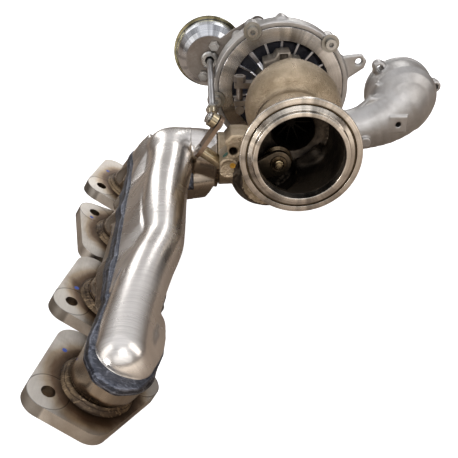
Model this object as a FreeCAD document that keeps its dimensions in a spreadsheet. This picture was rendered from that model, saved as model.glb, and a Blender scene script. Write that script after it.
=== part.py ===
import FreeCAD, Part
import math
import os
import Sketcher

# A turbocharger with its four-port exhaust manifold, built as separate parts in one frame.
# Millimetres.  +Z is up, the shaft runs along Y, the turbine outlet faces -Y and the origin is
# the centre of the outlet lip.  The manifold's port flanges lie on a plane tilted 30 degrees.

Vector = FreeCAD.Vector
Placement = FreeCAD.Placement
Rotation = FreeCAD.Rotation

os.makedirs("parts", exist_ok=True)
doc = FreeCAD.newDocument("turbocharger")

TABLE = {
    # port flanges and stubs (flange frame: x across, y along the head, z toward the nuts)
    "flange_thickness": 9.0,
    "flange_corner_radius": 13.5,
    "flange_bolt_hole_radius": 4.5,
    "port_bore_radius": 17.5,
    "port_across": 28.5,
    "port_pitch": 90.0,
    "first_port_along": -171.0,
    "stub_radius": 20.0,
    "stub_wall": 2.0,
    "stub_socket_depth": 3.0,
    "weld_leg": 4.5,
    "slip_gap": 0.05,
    # log and collector
    "log_middle_across": 41.0,
    "log_half_width": 24.0,
    "sheet_wall": 2.2,
    "seam_height": 23.5,
    "seam_bead_thickness": 1.3,
    "collector_radius": 24.5,
    "collector_end_across": -64.0,
    # turbine housing
    "outlet_radius": 34.9,
    "lip_radius": 39.5,
    "lip_height": 3.9,
    "outlet_rim_radius": 49.0,
    "chamber_outer_radius": 41.0,
    "chamber_radius": 36.0,
    "chamber_floor": 57.0,
    "chamber_back": 62.0,
    "exducer_bore_radius": 18.4,
    "turbine_bore_radius": 24.4,
    "turbine_wall": 4.0,
    "turbine_scroll_middle": 100.0,
    "joint_plane": 128.0,
    "joint_flange_radius": 33.0,
    "shield_bore_radius": 29.2,
    # wastegate (spindle frame: x along the spindle, y along the shaft, z toward the pin)
    "bushing_radius": 5.2,
    "bushing_bore_radius": 3.55,
    "spindle_radius": 3.5,
    "lever_thickness": 3.5,
    "lever_outer_face": -14.0,
    "pin_along_shaft": 5.6,
    "pin_reach": 25.4,
    "pin_middle": -17.8,
    "pin_radius": 2.9,
    "flap_radius": 12.5,
    "flap_middle": 50.3,
    "flap_reach": 27.1,
    "flap_seat": 14.0,
    "flap_thickness": 4.6,
    "seat_port_radius": 7.5,
    # bearing housing
    "plate_outer_radius": 61.1,
    "plate_inner_radius": 47.5,
    "plate_front": 166.0,
    "plate_web_front": 177.0,
    "plate_back": 182.0,
    "barrel_radius": 24.0,
    "journal_bore_radius": 8.06,
    "journal_start": 132.0,
    "journal_end": 160.0,
    "thrust_bore_radius": 20.0,
    "thrust_floor": 164.0,
    # rotor
    "shaft_radius": 4.5,
    "shaft_thread_radius": 3.4,
    "turbine_inducer_radius": 24.0,
    "turbine_exducer_radius": 18.0,
    "compressor_wheel_radius": 27.5,
    "inducer_radius": 21.0,
    "wheel_back": 184.0,
    "wheel_front": 208.0,
    # compressor housing
    "rim_radius": 66.5,
    "rim_front": 168.0,
    "bolt_circle_radius": 64.5,
    "boss_radius": 7.4,
    "bolt_radius": 3.0,
    "compressor_wall": 3.0,
    "inlet_outer_radius": 31.4,
    "inlet_end": 265.0,
    "diffuser_back": 185.6,
    "drum_radius": 36.0,
    "drum_middle_across": 140.0,
    "drum_middle_up": -31.0,
    "drum_mouth": 250.0,
    "mouth_bore_radius": 30.0,
    "ear_circle_radius": 38.5,
    # actuator (actuator frame: its own axis along Y)
    "rod_radius": 3.0,
    "can_radius": 36.0,
    "can_front": 218.0,
    "can_seam": 245.0,
    "can_back": 267.0,
    "shell_wall": 1.2,
    "bracket_thickness": 3.0,
    "bracket_disc_radius": 24.0,
}


class Size:
    """A number together with the sheet expression it came from."""

    def __init__(self, number, text):
        self.number = number
        self.text = text

    def combine(self, other, sign, swap=False):
        other = as_size(other)
        left, right = (other, self) if swap else (self, other)
        results = {
            "+": left.number + right.number,
            "-": left.number - right.number,
            "*": left.number * right.number,
        }
        return Size(results[sign], "(%s %s %s)" % (left.text, sign, right.text))

    def __add__(self, other):
        return self.combine(other, "+")

    def __radd__(self, other):
        return self.combine(other, "+", swap=True)

    def __sub__(self, other):
        return self.combine(other, "-")

    def __rsub__(self, other):
        return self.combine(other, "-", swap=True)

    def __mul__(self, other):
        return self.combine(other, "*")

    def __rmul__(self, other):
        return self.combine(other, "*", swap=True)

    def __neg__(self):
        return 0 - self

    def __float__(self):
        return self.number


def as_size(value):
    if isinstance(value, Size):
        return value
    return Size(float(value), "%.6g" % value)


class Sizes:
    """The sheet's named sizes, read as attributes."""

    def __init__(self, table):
        self.sheet = doc.addObject("Spreadsheet::Sheet", "Sizes")
        for row, (alias, number) in enumerate(table.items(), start=1):
            self.sheet.set("A%d" % row, alias)
            self.sheet.set("B%d" % row, str(number))
            self.sheet.setAlias("B%d" % row, alias)
        doc.recompute()

    def __getattr__(self, alias):
        return Size(float(self.sheet.get(alias)), "Sizes.%s" % alias)


D = Sizes(TABLE)
NODES = []

IDENTITY = Placement()
FLANGE_FRAME = Placement(Vector(-170.7, 0, -59.4), Rotation(Vector(0, 1, 0), 30))
SPINDLE_FRAME = Placement(Vector(-70, 40, -15), Rotation(Vector(0, 1, 0), 36.87))
ACTUATOR_FRAME = Placement(Vector(-69, 0, 16), Rotation())


def node(obj, label):
    obj.Label = label
    NODES.append(obj)
    return obj


def bind(obj, prop, value):
    """Set a property from a size and tie it to the sheet."""
    value = as_size(value)
    setattr(obj, prop, value.number)
    if "Sizes." in value.text:
        obj.setExpression(prop, value.text)


# ---------------------------------------------------------------- sketched bodies


def new_body(label, frame=IDENTITY):
    body = doc.addObject("PartDesign::Body", label)
    body.Placement = frame
    return node(body, label)


def new_sketch(body, plane="XY_Plane"):
    sketch = body.newObject("Sketcher::SketchObject", "sketch")
    planes = [f for f in body.Origin.OriginFeatures if f.Role == plane]
    sketch.AttachmentSupport = [(planes[0], "")]
    sketch.MapMode = "FlatFace"
    return sketch


def pin_point(sketch, geometry, position, value, kind):
    value = as_size(value)
    index = sketch.addConstraint(Sketcher.Constraint(kind, geometry, position, value.number))
    if "Sizes." in value.text:
        sketch.setExpression("Constraints[%d]" % index, value.text)


def draw_polygon(sketch, corners):
    """Draw a closed outline whose corners are dimensioned from the sketch origin."""
    first = sketch.GeometryCount
    count = len(corners)
    for i in range(count):
        start = Vector(float(corners[i][0]), float(corners[i][1]), 0)
        after = corners[(i + 1) % count]
        end = Vector(float(after[0]), float(after[1]), 0)
        sketch.addGeometry(Part.LineSegment(start, end), False)
    for i in range(count):
        here, ahead = first + i, first + (i + 1) % count
        sketch.addConstraint(Sketcher.Constraint("Coincident", here, 2, ahead, 1))
        pin_point(sketch, here, 1, corners[i][0], "DistanceX")
        pin_point(sketch, here, 1, corners[i][1], "DistanceY")


def draw_circle(sketch, centre, radius):
    radius = as_size(radius)
    middle = Vector(float(centre[0]), float(centre[1]), 0)
    index = sketch.addGeometry(Part.Circle(middle, Vector(0, 0, 1), radius.number), False)
    pin_point(sketch, index, 3, centre[0], "DistanceX")
    pin_point(sketch, index, 3, centre[1], "DistanceY")
    spot = sketch.addConstraint(Sketcher.Constraint("Radius", index, radius.number))
    if "Sizes." in radius.text:
        sketch.setExpression("Constraints[%d]" % spot, radius.text)


def revolve(body, profile, axis="V_Axis", kind="Revolution"):
    sketch = new_sketch(body)
    draw_polygon(sketch, profile)
    feature = body.newObject("PartDesign::" + kind, kind.lower())
    feature.Profile = sketch
    feature.ReferenceAxis = (sketch, [axis])
    feature.Angle = 360
    doc.recompute()
    return feature


def turned(label, profile, frame=IDENTITY, axis="V_Axis"):
    """A lathe part; the profile is (radius, along) pairs about Y, or (along, radius) about X."""
    body = new_body(label, frame)
    revolve(body, profile, axis)
    return body


def pad(body, sketch, length, offset=0.0, reverse=False):
    sketch.AttachmentOffset = Placement(Vector(0, 0, float(offset)), Rotation())
    if isinstance(offset, Size):
        sketch.setExpression(".AttachmentOffset.Base.z", offset.text)
    feature = body.newObject("PartDesign::Pad", "pad")
    feature.Profile = sketch
    bind(feature, "Length", length)
    feature.Reversed = reverse
    doc.recompute()
    return feature


def drill(body, centres, radius, plane="XY_Plane"):
    """Cut round holes right through the body; the volume must drop."""
    before = body.Shape.Volume
    sketch = new_sketch(body, plane)
    for centre in centres:
        draw_circle(sketch, centre, radius)
    feature = body.newObject("PartDesign::Pocket", "holes")
    feature.Profile = sketch
    feature.Type = 1
    feature.Midplane = True
    doc.recompute()
    assert body.Shape.Volume < before - 0.1, body.Label
    return feature


def hull_of_discs(middles, radius):
    """Outline of equal discs wrapped by a tight band, as a face in the XY plane."""
    edges = []
    count = len(middles)
    offsets = []
    for i in range(count):
        start, end = middles[i], middles[(i + 1) % count]
        way = (end - start).normalize()
        out = Vector(way.y, -way.x, 0) * radius
        offsets.append((start + out, end + out))
    for i in range(count):
        edges.append(Part.makeLine(*offsets[i]))
        corner = middles[(i + 1) % count]
        begin, finish = offsets[i][1], offsets[(i + 1) % count][0]
        toward = (begin - corner) + (finish - corner)
        if toward.Length < 1e-6:
            toward = corner - middles[i]
        middle = toward.normalize() * radius + corner
        edges.append(Part.Arc(begin, middle, finish).toShape())
    return Part.Face(Part.Wire(edges))


# ---------------------------------------------------------------- primitives and booleans


def y_axis_frame(x, y, z):
    """A placement whose local Z points along +Y of the outer frame."""
    return Placement(Vector(x, y, z), Rotation(Vector(1, 0, 0), -90))


def cylinder(radius, height, placement):
    part = doc.addObject("Part::Cylinder", "cylinder")
    bind(part, "Radius", radius)
    bind(part, "Height", height)
    part.Placement = placement
    return part


def hexagon(across_corners_radius, height, placement):
    part = doc.addObject("Part::Prism", "hexagon")
    part.Polygon = 6
    bind(part, "Circumradius", across_corners_radius)
    bind(part, "Height", height)
    part.Placement = placement
    return part


def fused(pieces):
    part = doc.addObject("Part::MultiFuse", "fused")
    part.Shapes = pieces
    return part


def cut(base, tool):
    part = doc.addObject("Part::Cut", "cut")
    part.Base = base
    part.Tool = tool
    return part


def group(label, pieces):
    part = doc.addObject("Part::Compound", label)
    part.Links = pieces
    return node(part, label)


def shaped(label, shape, frame=IDENTITY):
    """A free-form part; its shape is computed in its own frame from the sheet's sizes."""
    part = doc.addObject("Part::Feature", label)
    part.Shape = shape
    part.Placement = frame.multiply(shape.Placement)
    return node(part, label)


# ---------------------------------------------------------------- free-form helpers


def ring_wire(radius, centre, normal, seam=Vector(0, 1, 0)):
    side = normal.cross(seam)
    edge = Part.makeCircle(radius)
    edge.Placement = Placement(centre, Rotation(seam, side, normal, "ZXY"))
    return Part.Wire(edge)


def tube_loft(stations, shrink=0.0, ruled=False, seam=Vector(0, 1, 0)):
    """A solid through round stations given as (centre, direction, radius)."""
    wires = []
    for centre, direction, radius in stations:
        wires.append(ring_wire(radius - shrink, Vector(*centre), Vector(*direction), seam))
    return Part.makeLoft(wires, True, ruled)


def scroll_stations(table, middle):
    """Turn (angle, reach, radius) rows into stations around Y; angle 0 points down."""
    stations = []
    for angle, reach, radius in table:
        bearing = math.radians(angle)
        out = (math.sin(bearing), -math.cos(bearing))
        centre = (out[0] * reach, middle(radius), out[1] * reach)
        stations.append((centre, (math.cos(bearing), 0, math.sin(bearing)), radius))
    return stations


def spun(profile):
    """Revolve (radius, along) pairs about Y."""
    corners = [Vector(float(r), float(y), 0) for r, y in profile]
    face = Part.Face(Part.makePolygon(corners + corners[:1]))
    return face.revolve(Vector(0, 0, 0), Vector(0, 1, 0), 360)


def rod_y(radius, start, end, x=0.0, z=0.0):
    return Part.makeCylinder(float(radius), float(end - start), Vector(x, float(start), z), Vector(0, 1, 0))


def prism_y(corners, start, end):
    """Push an outline of (x, z) corners along Y."""
    points = [Vector(x, start, z) for x, z in corners]
    return Part.Face(Part.makePolygon(points + points[:1])).extrude(Vector(0, end - start, 0))


def hull_y(middles, radius, start, end):
    """Push the band around equal discs, given as (x, z), along Y."""
    face = hull_of_discs([Vector(x, z, 0) for x, z in middles], radius)
    face.rotate(Vector(), Vector(1, 0, 0), 90)
    face.translate(Vector(0, start, 0))
    return face.extrude(Vector(0, end - start, 0))


def join(shapes):
    whole = shapes[0].fuse(shapes[1:])
    return whole.removeSplitter()


def remove(whole, shapes):
    for shape in shapes:
        whole = whole.cut(shape)
    return whole


# ---------------------------------------------------------------- manifold

FLANGE_LAYOUT = [(-28.5, -19.5), (1.0, -26.0), (28.5, 19.5), (-19.0, 29.0)]
port_alongs = [D.first_port_along.number + i * D.port_pitch.number for i in range(4)]


def port_flange(index, along, flip):
    """Flat plate hugging one port, with its two stud holes on opposite corners."""
    across = D.port_across.number
    middles = [Vector(across + u, along + flip * v, 0) for u, v in FLANGE_LAYOUT]
    studs = [middles[0], middles[2]]
    if flip < 0:
        middles.reverse()
    outline = hull_of_discs(middles, D.flange_corner_radius.number)
    body = new_body("port_flange_%d" % (index + 1), FLANGE_FRAME)
    sketch = new_sketch(body)
    for edge in outline.Edges:
        sketch.addGeometry(edge.Curve.trim(*edge.ParameterRange), False)
    count = len(outline.Edges)
    for i in range(count):
        sketch.addConstraint(Sketcher.Constraint("Block", i))
    pad(body, sketch, D.flange_thickness, reverse=True)
    drill(body, [(p.x, p.y) for p in studs], D.flange_bolt_hole_radius)
    drill(body, [(D.port_across, along)], D.port_bore_radius)
    socket = new_sketch(body)
    draw_circle(socket, (D.port_across, along), D.stub_radius + D.slip_gap)
    before = body.Shape.Volume
    pocket = body.newObject("PartDesign::Pocket", "socket")
    pocket.Profile = socket
    bind(pocket, "Length", D.stub_socket_depth)
    doc.recompute()
    assert body.Shape.Volume < before - 1.0, "the socket of flange %d removed nothing" % index
    return body


def stub_shape(along, radius):
    across = D.port_across.number
    deep = -D.stub_socket_depth.number
    straight = tube_loft([((across, along, deep), (0, 0, 1), radius),
                          ((across, along, 5.0), (0, 0, 1), radius)], ruled=True)
    leaning = tube_loft([((across, along, 5.0), (0, 0, 1), radius),
                         ((across + 5.5, along, 15.0), (0, 0, 1), radius)], ruled=True)
    return join([straight, leaning])


def log_section(along, low, high, shrink):
    """One smooth closed section of the log, across u and w, at a station along the head."""
    middle_across = D.log_middle_across.number
    half_width = D.log_half_width.number - shrink
    half_height = (high - low) / 2 - shrink
    middle_height = (high + low) / 2
    points = []
    for i in range(16):
        angle = 2 * math.pi * i / 16
        c, s = math.cos(angle), math.sin(angle)
        u = middle_across + half_width * math.copysign(abs(c) ** 0.8, c)
        w = middle_height + half_height * math.copysign(abs(s) ** 0.8, s)
        points.append(Vector(u, along, w))
    curve = Part.BSplineCurve()
    curve.interpolate(points, PeriodicFlag=True)
    return Part.Wire(curve.toShape())


LOG_STATIONS = [
    (-192.0, 13.0, 32.0),
    (-184.0, 9.5, 40.0),
    (-168.0, 8.0, 46.0),
    (-130.0, 8.0, 50.0),
    (-95.0, 8.0, 57.0),
    (-40.0, 8.5, 64.0),
    (30.0, 9.0, 69.0),
    (85.0, 9.5, 72.0),
    (112.0, 10.0, 72.5),
    (125.0, 14.0, 68.0),
]


def log_solid(shrink):
    wires = []
    last = len(LOG_STATIONS) - 1
    for i, (along, low, high) in enumerate(LOG_STATIONS):
        shift = shrink if i == 0 else (-shrink if i == last else 0.0)
        wires.append(log_section(along + shift, low, high, shrink))
    return Part.makeLoft(wires, True, False)


def slab(low, high):
    return Part.makeBox(120, 420, high - low, Vector(-20, -240, low))


def build_manifold():
    gap = D.slip_gap.number
    stubs = []
    for i, along in enumerate(port_alongs):
        port_flange(i, along, -1 if i == 2 else 1)
        outer = stub_shape(along, D.stub_radius.number)
        inner = stub_shape(along, D.stub_radius.number - D.stub_wall.number)
        shaped("port_stub_%d" % (i + 1), outer.cut(inner), FLANGE_FRAME)
        stubs.append(stub_shape(along, D.stub_radius.number + gap))
    beads = []
    for along in port_alongs:
        inner = D.stub_radius.number + gap
        leg = D.weld_leg.number
        corners = [Vector(inner, 0, 0), Vector(inner + leg, 0, 0), Vector(inner + 1, 0, leg), Vector(inner, 0, leg)]
        face = Part.Face(Part.makePolygon(corners + corners[:1]))
        bead = face.revolve(Vector(0, 0, 0), Vector(0, 0, 1), 360)
        bead.translate(Vector(D.port_across.number, along, 0))
        beads.append(bead)
    shaped("port_welds", Part.makeCompound(beads), FLANGE_FRAME)

    seam = D.seam_height.number
    thick = D.seam_bead_thickness.number
    outer = log_solid(0.0)
    shell = outer.cut(log_solid(D.sheet_wall.number))
    bead = log_solid(-thick).cut(log_solid(-gap)).common(slab(seam - 2.6, seam + 2.6))

    # The collector leaves the log's far end level with the ground, toward the turbine.
    start, end = Vector(-112, 100, -36.3), Vector(D.collector_end_across.number, 100, -43.0)
    way = (end - start).normalize()
    reach = (end - start).Length
    radius = D.collector_radius.number
    duct = Part.makeCylinder(radius, reach, start, way)
    hole = Part.makeCylinder(radius - D.sheet_wall.number, reach, start, way)
    sleeve = Part.makeCylinder(radius + gap, reach + 30, start, way)
    collector = duct.cut(hole)
    facing = Part.makeBox(60, 60, 60, Vector(D.collector_end_across.number, 70, -75))
    collector = collector.cut(facing)
    sleeve.Placement = FLANGE_FRAME.inverse().multiply(sleeve.Placement)

    lower = remove(shell.common(slab(0, seam)), stubs + [sleeve])
    upper = remove(shell.common(slab(seam, 90)), [sleeve])
    shaped("lower_shell", lower, FLANGE_FRAME)
    shaped("upper_shell", upper, FLANGE_FRAME)
    shaped("seam_weld", bead.cut(sleeve), FLANGE_FRAME)
    shaped("collector", collector)
    at = end + way * -1.5
    ring = Part.makeCylinder(radius + 2.2, 3.0, at, way).cut(Part.makeCylinder(radius + gap, 3.0, at, way))
    shaped("inlet_weld", ring.cut(facing))


build_manifold()


# ---------------------------------------------------------------- turbine side

TURBINE_SCROLL = [
    (0, 43.0, 22.5), (30, 40.0, 20.5), (60, 36.0, 18.5), (90, 33.0, 17.0), (130, 33.5, 15.6),
    (180, 34.0, 14.0), (225, 32.0, 12.0), (270, 29.5, 10.0), (310, 27.5, 8.4),
]


def turbine_scroll(wall):
    middle = D.turbine_scroll_middle.number
    stations = scroll_stations(TURBINE_SCROLL, lambda radius: middle)
    volute = tube_loft(stations, shrink=wall)
    inlet_end = D.collector_end_across.number
    inlet = tube_loft([((inlet_end, middle, -43.0), (1, 0, 0), 24.5),
                       ((-30, middle, -43.0), (1, 0, 0), 23.5),
                       ((0, middle, -43.0), (1, 0, 0), 22.5)], shrink=wall)
    return volute, inlet


def build_turbine_housing():
    wall = D.turbine_wall.number
    outlet = D.outlet_radius.number
    rim = D.outlet_rim_radius.number
    body_radius = D.chamber_outer_radius.number
    floor = D.chamber_floor.number
    joint = D.joint_plane.number
    flange = D.joint_flange_radius.number
    skin = spun([
        (0, 0), (D.lip_radius, 0), (D.lip_radius, D.lip_height + 1.7), (43.8, D.lip_height + 1.7),
        (43.8, D.lip_height), (rim, 4.4),
        (rim, 6.0), (43.5, 12.0), (body_radius, 14.5), (body_radius, 56), (37, 64), (31, 72),
        (31, 108), (30, 121), (31.2, 122.5), (flange, 124.5), (flange, joint), (0, joint),
    ])
    volute, inlet = turbine_scroll(0.0)
    bulge = rod_y(33, 14, 61, -25, -26)
    lobe = prism_y([(-44, 12.5), (-54.7, 12.5), (-60, 7), (-57, -4.6), (-66.5, -12), (-68, -16), (-44.3, -35),
                    (-32, -44), (-20, -20), (-25, 8)], 20, 45)
    boss = rod_y(8, 19.4, 30, -56.7, -15.9)
    passage_wall = rod_y(11.0, 56, 90, -14, -24.5)
    whole = skin.fuse([volute, inlet, bulge, lobe, boss, passage_wall])

    bore = spun([
        (0, -1), (outlet, -1), (outlet, 10), (D.chamber_radius, 14), (D.chamber_radius, floor), (0, floor),
    ])
    pocket = rod_y(29, 16, floor, -25, -26)
    seat = rod_y(10.5, 54, floor + 1, -14, -24.5)
    throat = spun([
        (0, 50), (D.exducer_bore_radius, 50), (D.exducer_bore_radius, 84), (21.0, 90),
        (D.turbine_bore_radius, 95.5), (D.turbine_bore_radius, 113), (D.shield_bore_radius, 113),
        (D.shield_bore_radius, joint - 1.4), (30.8, joint - 1.4), (30.8, joint + 1), (0, joint + 1),
    ])
    nozzle = spun([(20, 96), (33, 96), (33, 105), (20, 105)])
    inner_volute, inner_inlet = turbine_scroll(wall)
    port = rod_y(D.seat_port_radius, 50, 96, -14, -24.5)
    mouth = Part.makeCylinder(20.5, 3, Vector(D.collector_end_across.number - 1, 100, -43), Vector(1, 0, 0))
    across = Part.makeCylinder(D.bushing_radius.number, 42, Vector(-16, 0, 0), Vector(1, 0, 0))
    across.Placement = SPINDLE_FRAME.multiply(across.Placement)
    tapped = rod_y(2.5, 10, 36, -53, -1.5)
    whole = remove(whole, [bore, pocket.cut(seat), throat])
    whole = whole.fuse(seat.cut(rod_y(D.exducer_bore_radius, 50, 60)))
    whole = remove(whole, [nozzle, inner_volute, inner_inlet, mouth, port, across, tapped])
    shaped("turbine_housing", whole.removeSplitter())


build_turbine_housing()

turned("wastegate_bushing", [
    (-10, D.bushing_bore_radius), (24, D.bushing_bore_radius), (24, D.bushing_radius - D.slip_gap),
    (-10, D.bushing_radius - D.slip_gap),
], SPINDLE_FRAME, axis="H_Axis")
turned("wastegate_spindle", [(-15.5, 0), (37.5, 0), (37.5, D.spindle_radius), (-15.5, D.spindle_radius)],
       SPINDLE_FRAME, axis="H_Axis")


def x_disc(radius, start, end, y=0.0, z=0.0):
    return Part.makeCylinder(float(radius), float(end - start), Vector(float(start), y, z), Vector(1, 0, 0))


def build_arm():
    reach = D.flap_reach.number
    middle = D.flap_middle.number
    hub = x_disc(6.5, 30, 37)
    eye = rod_y(6.0, 3.0, 9.0, middle, reach)
    bar_ends = [Vector(33, 0, 0), Vector(middle, 0, reach)]
    way = bar_ends[1] - bar_ends[0]
    beam = Part.makeBox(9.0, 6.0, way.Length, Vector(-4.5, 3.0, 0))
    beam.rotate(Vector(), Vector(0, 1, 0), math.degrees(math.atan2(way.x, way.z)))
    beam.translate(Vector(33, 0, 0))
    knee = Part.makeBox(7, 8, 9, Vector(30, 0, -3))
    arm = join([hub, eye, beam, knee])
    gap = 0.02
    arm = remove(arm, [x_disc(D.spindle_radius.number + gap, 20, 60), rod_y(3.2 + gap, -10, 20, middle, reach)])
    shaped("wastegate_arm", arm, SPINDLE_FRAME)


def flap_frame():
    offset = Placement(Vector(D.flap_middle.number, 0, D.flap_reach.number), Rotation())
    return SPINDLE_FRAME.multiply(offset)


build_arm()
seat_face = D.flap_seat
flap_front = D.flap_seat - D.flap_thickness
turned("wastegate_flap", [
    (0, -1.2), (3.2, -1.2), (3.2, flap_front), (9.5, flap_front), (D.flap_radius, flap_front + 1.6),
    (D.flap_radius, seat_face), (0, seat_face),
], flap_frame())
turned("flap_washer", [(3.22, 1.4), (6.2, 1.4), (6.2, 2.98), (3.22, 2.98)], flap_frame())
turned("flap_rivet", [(3.22, -1.0), (5.0, -1.0), (5.0, 1.38), (3.22, 1.38)], flap_frame())


def build_lever():
    along, reach = D.pin_along_shaft.number, D.pin_reach.number
    outer = D.lever_outer_face.number
    thick = D.lever_thickness.number
    middles = [Vector(0, 0, 0), Vector(reach, -along, 0)]
    plate = hull_of_discs(middles, 7.4).extrude(Vector(0, 0, thick))
    turn = Placement(Vector(outer, 0, 0), Rotation(Vector(0, 0, 1), Vector(0, -1, 0), Vector(1, 0, 0), "ZXY"))
    plate.Placement = turn
    holes = [x_disc(D.spindle_radius.number + 0.02, -30, 10), x_disc(D.pin_radius.number + 0.02, -30, 10, along, reach)]
    shaped("wastegate_lever", remove(plate, holes), SPINDLE_FRAME)


build_lever()
PIN_FRAME = SPINDLE_FRAME.multiply(Placement(Vector(0, D.pin_along_shaft.number, D.pin_reach.number), Rotation()))
turned("lever_pin", [
    (-24.0, 0), (-9.0, 0), (-9.0, 4.6), (-10.4, 4.6), (-10.4, D.pin_radius), (-24.0, D.pin_radius),
], PIN_FRAME, axis="H_Axis")
turned("pin_circlip", [(-23.0, D.pin_radius + 0.02), (-21.8, D.pin_radius + 0.02), (-21.8, 5.2), (-23.0, 5.2)],
       PIN_FRAME, axis="H_Axis")

turned("heat_shield", [
    (8.6, 113.3), (28.2, 113.3), (29.0, 114.4), (29.0, 126.8), (30.6, 126.8), (30.6, 127.98),
    (27.8, 127.98), (27.8, 114.5), (8.6, 114.5),
])


def build_clamp():
    joint = D.joint_plane.number
    flange = D.joint_flange_radius.number
    band = spun([
        (flange + 0.1, joint - 3.6), (flange + 0.1, joint + 3.6), (flange - 1.5, joint + 5.9),
        (flange + 1.2, joint + 6.6), (flange + 3.6, joint + 4.4), (flange + 3.6, joint - 4.4),
        (flange + 1.2, joint - 6.6), (flange - 1.5, joint - 5.9),
    ])
    gap = Part.makeBox(40, 30, 12, Vector(-60, joint - 15, 4))
    low = Part.makeBox(12, 10, 5, Vector(-47.5, joint - 5, -1)).cut(rod_y(flange + 0.2, joint - 9, joint + 9))
    high = Part.makeBox(22, 10, 5, Vector(-47.5, joint - 5, 16)).cut(rod_y(flange + 0.2, joint - 9, joint + 9))
    band = join([band.cut(gap), low, high])
    hole = Part.makeCylinder(3.1, 60, Vector(-42.5, joint, -20), Vector(0, 0, 1))
    shaped("v_clamp_band", band.cut(hole))
    shank = cylinder(3.0, 32.0, Placement(Vector(-42.5, joint, -6.0), Rotation()))
    bar = cylinder(4.2, 9.6, Placement(Vector(-42.5, joint - 4.8, -5.25), Rotation(Vector(1, 0, 0), -90)))
    node(fused([shank, bar]), "clamp_t_bolt")
    body = hexagon(5.6, 5.5, Placement(Vector(-42.5, joint, 21.02), Rotation()))
    bore = cylinder(3.02, 12.0, Placement(Vector(-42.5, joint, 18.0), Rotation()))
    node(cut(body, bore), "clamp_nut")


build_clamp()


# ---------------------------------------------------------------- bearing housing

def build_bearing_housing():
    joint = D.joint_plane.number
    flange = D.joint_flange_radius.number
    front, web, back = D.plate_front.number, D.plate_web_front.number, D.plate_back.number
    inner, outer = D.plate_inner_radius.number, D.plate_outer_radius.number
    barrel = D.barrel_radius.number
    whole = spun([
        (0, 116), (12, 116), (24, 121), (24, joint), (flange, joint), (flange, joint + 3.5),
        (flange - 1.8, joint + 5.5), (27, joint + 7), (barrel, joint + 10), (barrel, 158), (27, 168),
        (29, web), (inner, web), (inner, front), (outer, front), (outer, back), (0, back),
    ])
    ribs = []
    for i in range(12):
        rib = Part.makeBox(inner - 20, 8.0, 2.6, Vector(22, front + 3.5, -1.3))
        rib.rotate(Vector(), Vector(0, 1, 0), 15 + 30 * i)
        ribs.append(rib)
    feet = [Part.makeBox(24, 26, 30, Vector(-12, 136, -34)), Part.makeBox(20, 20, 30, Vector(-10, 138, 2))]
    whole = whole.fuse(ribs + feet)
    tunnel = spun([
        (0, 110), (8.0, 110), (8.0, 131), (D.journal_bore_radius, 131), (D.journal_bore_radius, 161.5),
        (11.0, 161.5), (11.0, D.thrust_floor), (D.thrust_bore_radius, D.thrust_floor),
        (D.thrust_bore_radius, 180.0), (21.0, 180.0), (21.0, 181.6),
        (D.thrust_bore_radius, 181.6), (D.thrust_bore_radius, 183), (0, 183),
    ])
    oil_in = Part.makeCylinder(4.0, 22, Vector(0, 148, 14), Vector(0, 0, 1))
    feed = Part.makeCylinder(1.6, 14, Vector(0, 148, 4), Vector(0, 0, 1))
    oil_out = Part.makeCylinder(8.0, 26, Vector(0, 149, -40), Vector(0, 0, 1))
    drop = Part.makeCylinder(5.5, 16, Vector(0, 149, -16), Vector(0, 0, 1))
    pin_hole = Part.makeCylinder(1.52, 8, Vector(0, 140, -15), Vector(0, 0, 1))
    return remove(whole, [tunnel, oil_in, feed, oil_out, drop, pin_hole])


shaped("bearing_housing", build_bearing_housing())

bearing = turned("journal_bearing", [
    (D.shaft_radius + 0.05, D.journal_start), (7.99, D.journal_start), (7.99, D.journal_end),
    (D.shaft_radius + 0.05, D.journal_end),
])
doc.recompute()
turned("thrust_bearing", [
    (5.35, 164.6), (D.thrust_bore_radius - 0.02, 164.6), (D.thrust_bore_radius - 0.02, 167.6), (5.35, 167.6),
])
thrust_base = D.journal_end + 1.9
turned("thrust_collar", [
    (D.shaft_thread_radius + 0.02, thrust_base), (9.0, thrust_base), (9.0, 164.5), (5.3, 164.5),
    (5.3, 167.7), (D.shaft_thread_radius + 0.02, 167.7),
])
turned("oil_flinger", [
    (D.shaft_thread_radius + 0.02, 167.75), (10.0, 167.75), (10.0, 170.0), (6.5, 170.0), (6.5, 174.8),
    (5.6, 174.8), (5.6, 176.4), (6.5, 176.4), (6.5, D.wheel_back - 0.02),
    (D.shaft_thread_radius + 0.02, D.wheel_back - 0.02),
])
turned("seal_plate", [
    (6.57, 172.0), (D.thrust_bore_radius - 0.02, 172.0), (D.thrust_bore_radius - 0.02, 175.0), (18.2, 175.0),
    (18.2, 177.2), (D.thrust_bore_radius - 0.02, 177.2), (D.thrust_bore_radius - 0.02, 179.96), (6.57, 179.96),
])
turned("o_ring", [(18.22, 175.1), (19.96, 175.1), (19.96, 177.1), (18.22, 177.1)])
turned("snap_ring", [(18.0, 180.0), (20.95, 180.0), (20.95, 181.55), (18.0, 181.55)])
turned("piston_ring_compressor", [(5.65, 174.9), (6.56, 174.9), (6.56, 176.3), (5.65, 176.3)])
turned("piston_ring_turbine", [(6.3, 120.1), (7.98, 120.1), (7.98, 121.5), (6.3, 121.5)])

# ---------------------------------------------------------------- rotor

turned("rotor_shaft", [
    (0, 112.02), (7.5, 112.02), (7.5, 120.0), (6.2, 120.0), (6.2, 121.6), (7.5, 121.6), (7.5, 130.0),
    (D.shaft_radius, 131.0), (D.shaft_radius, thrust_base), (D.shaft_thread_radius, thrust_base),
    (D.shaft_thread_radius, 217.0), (0, 217.0),
])


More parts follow.
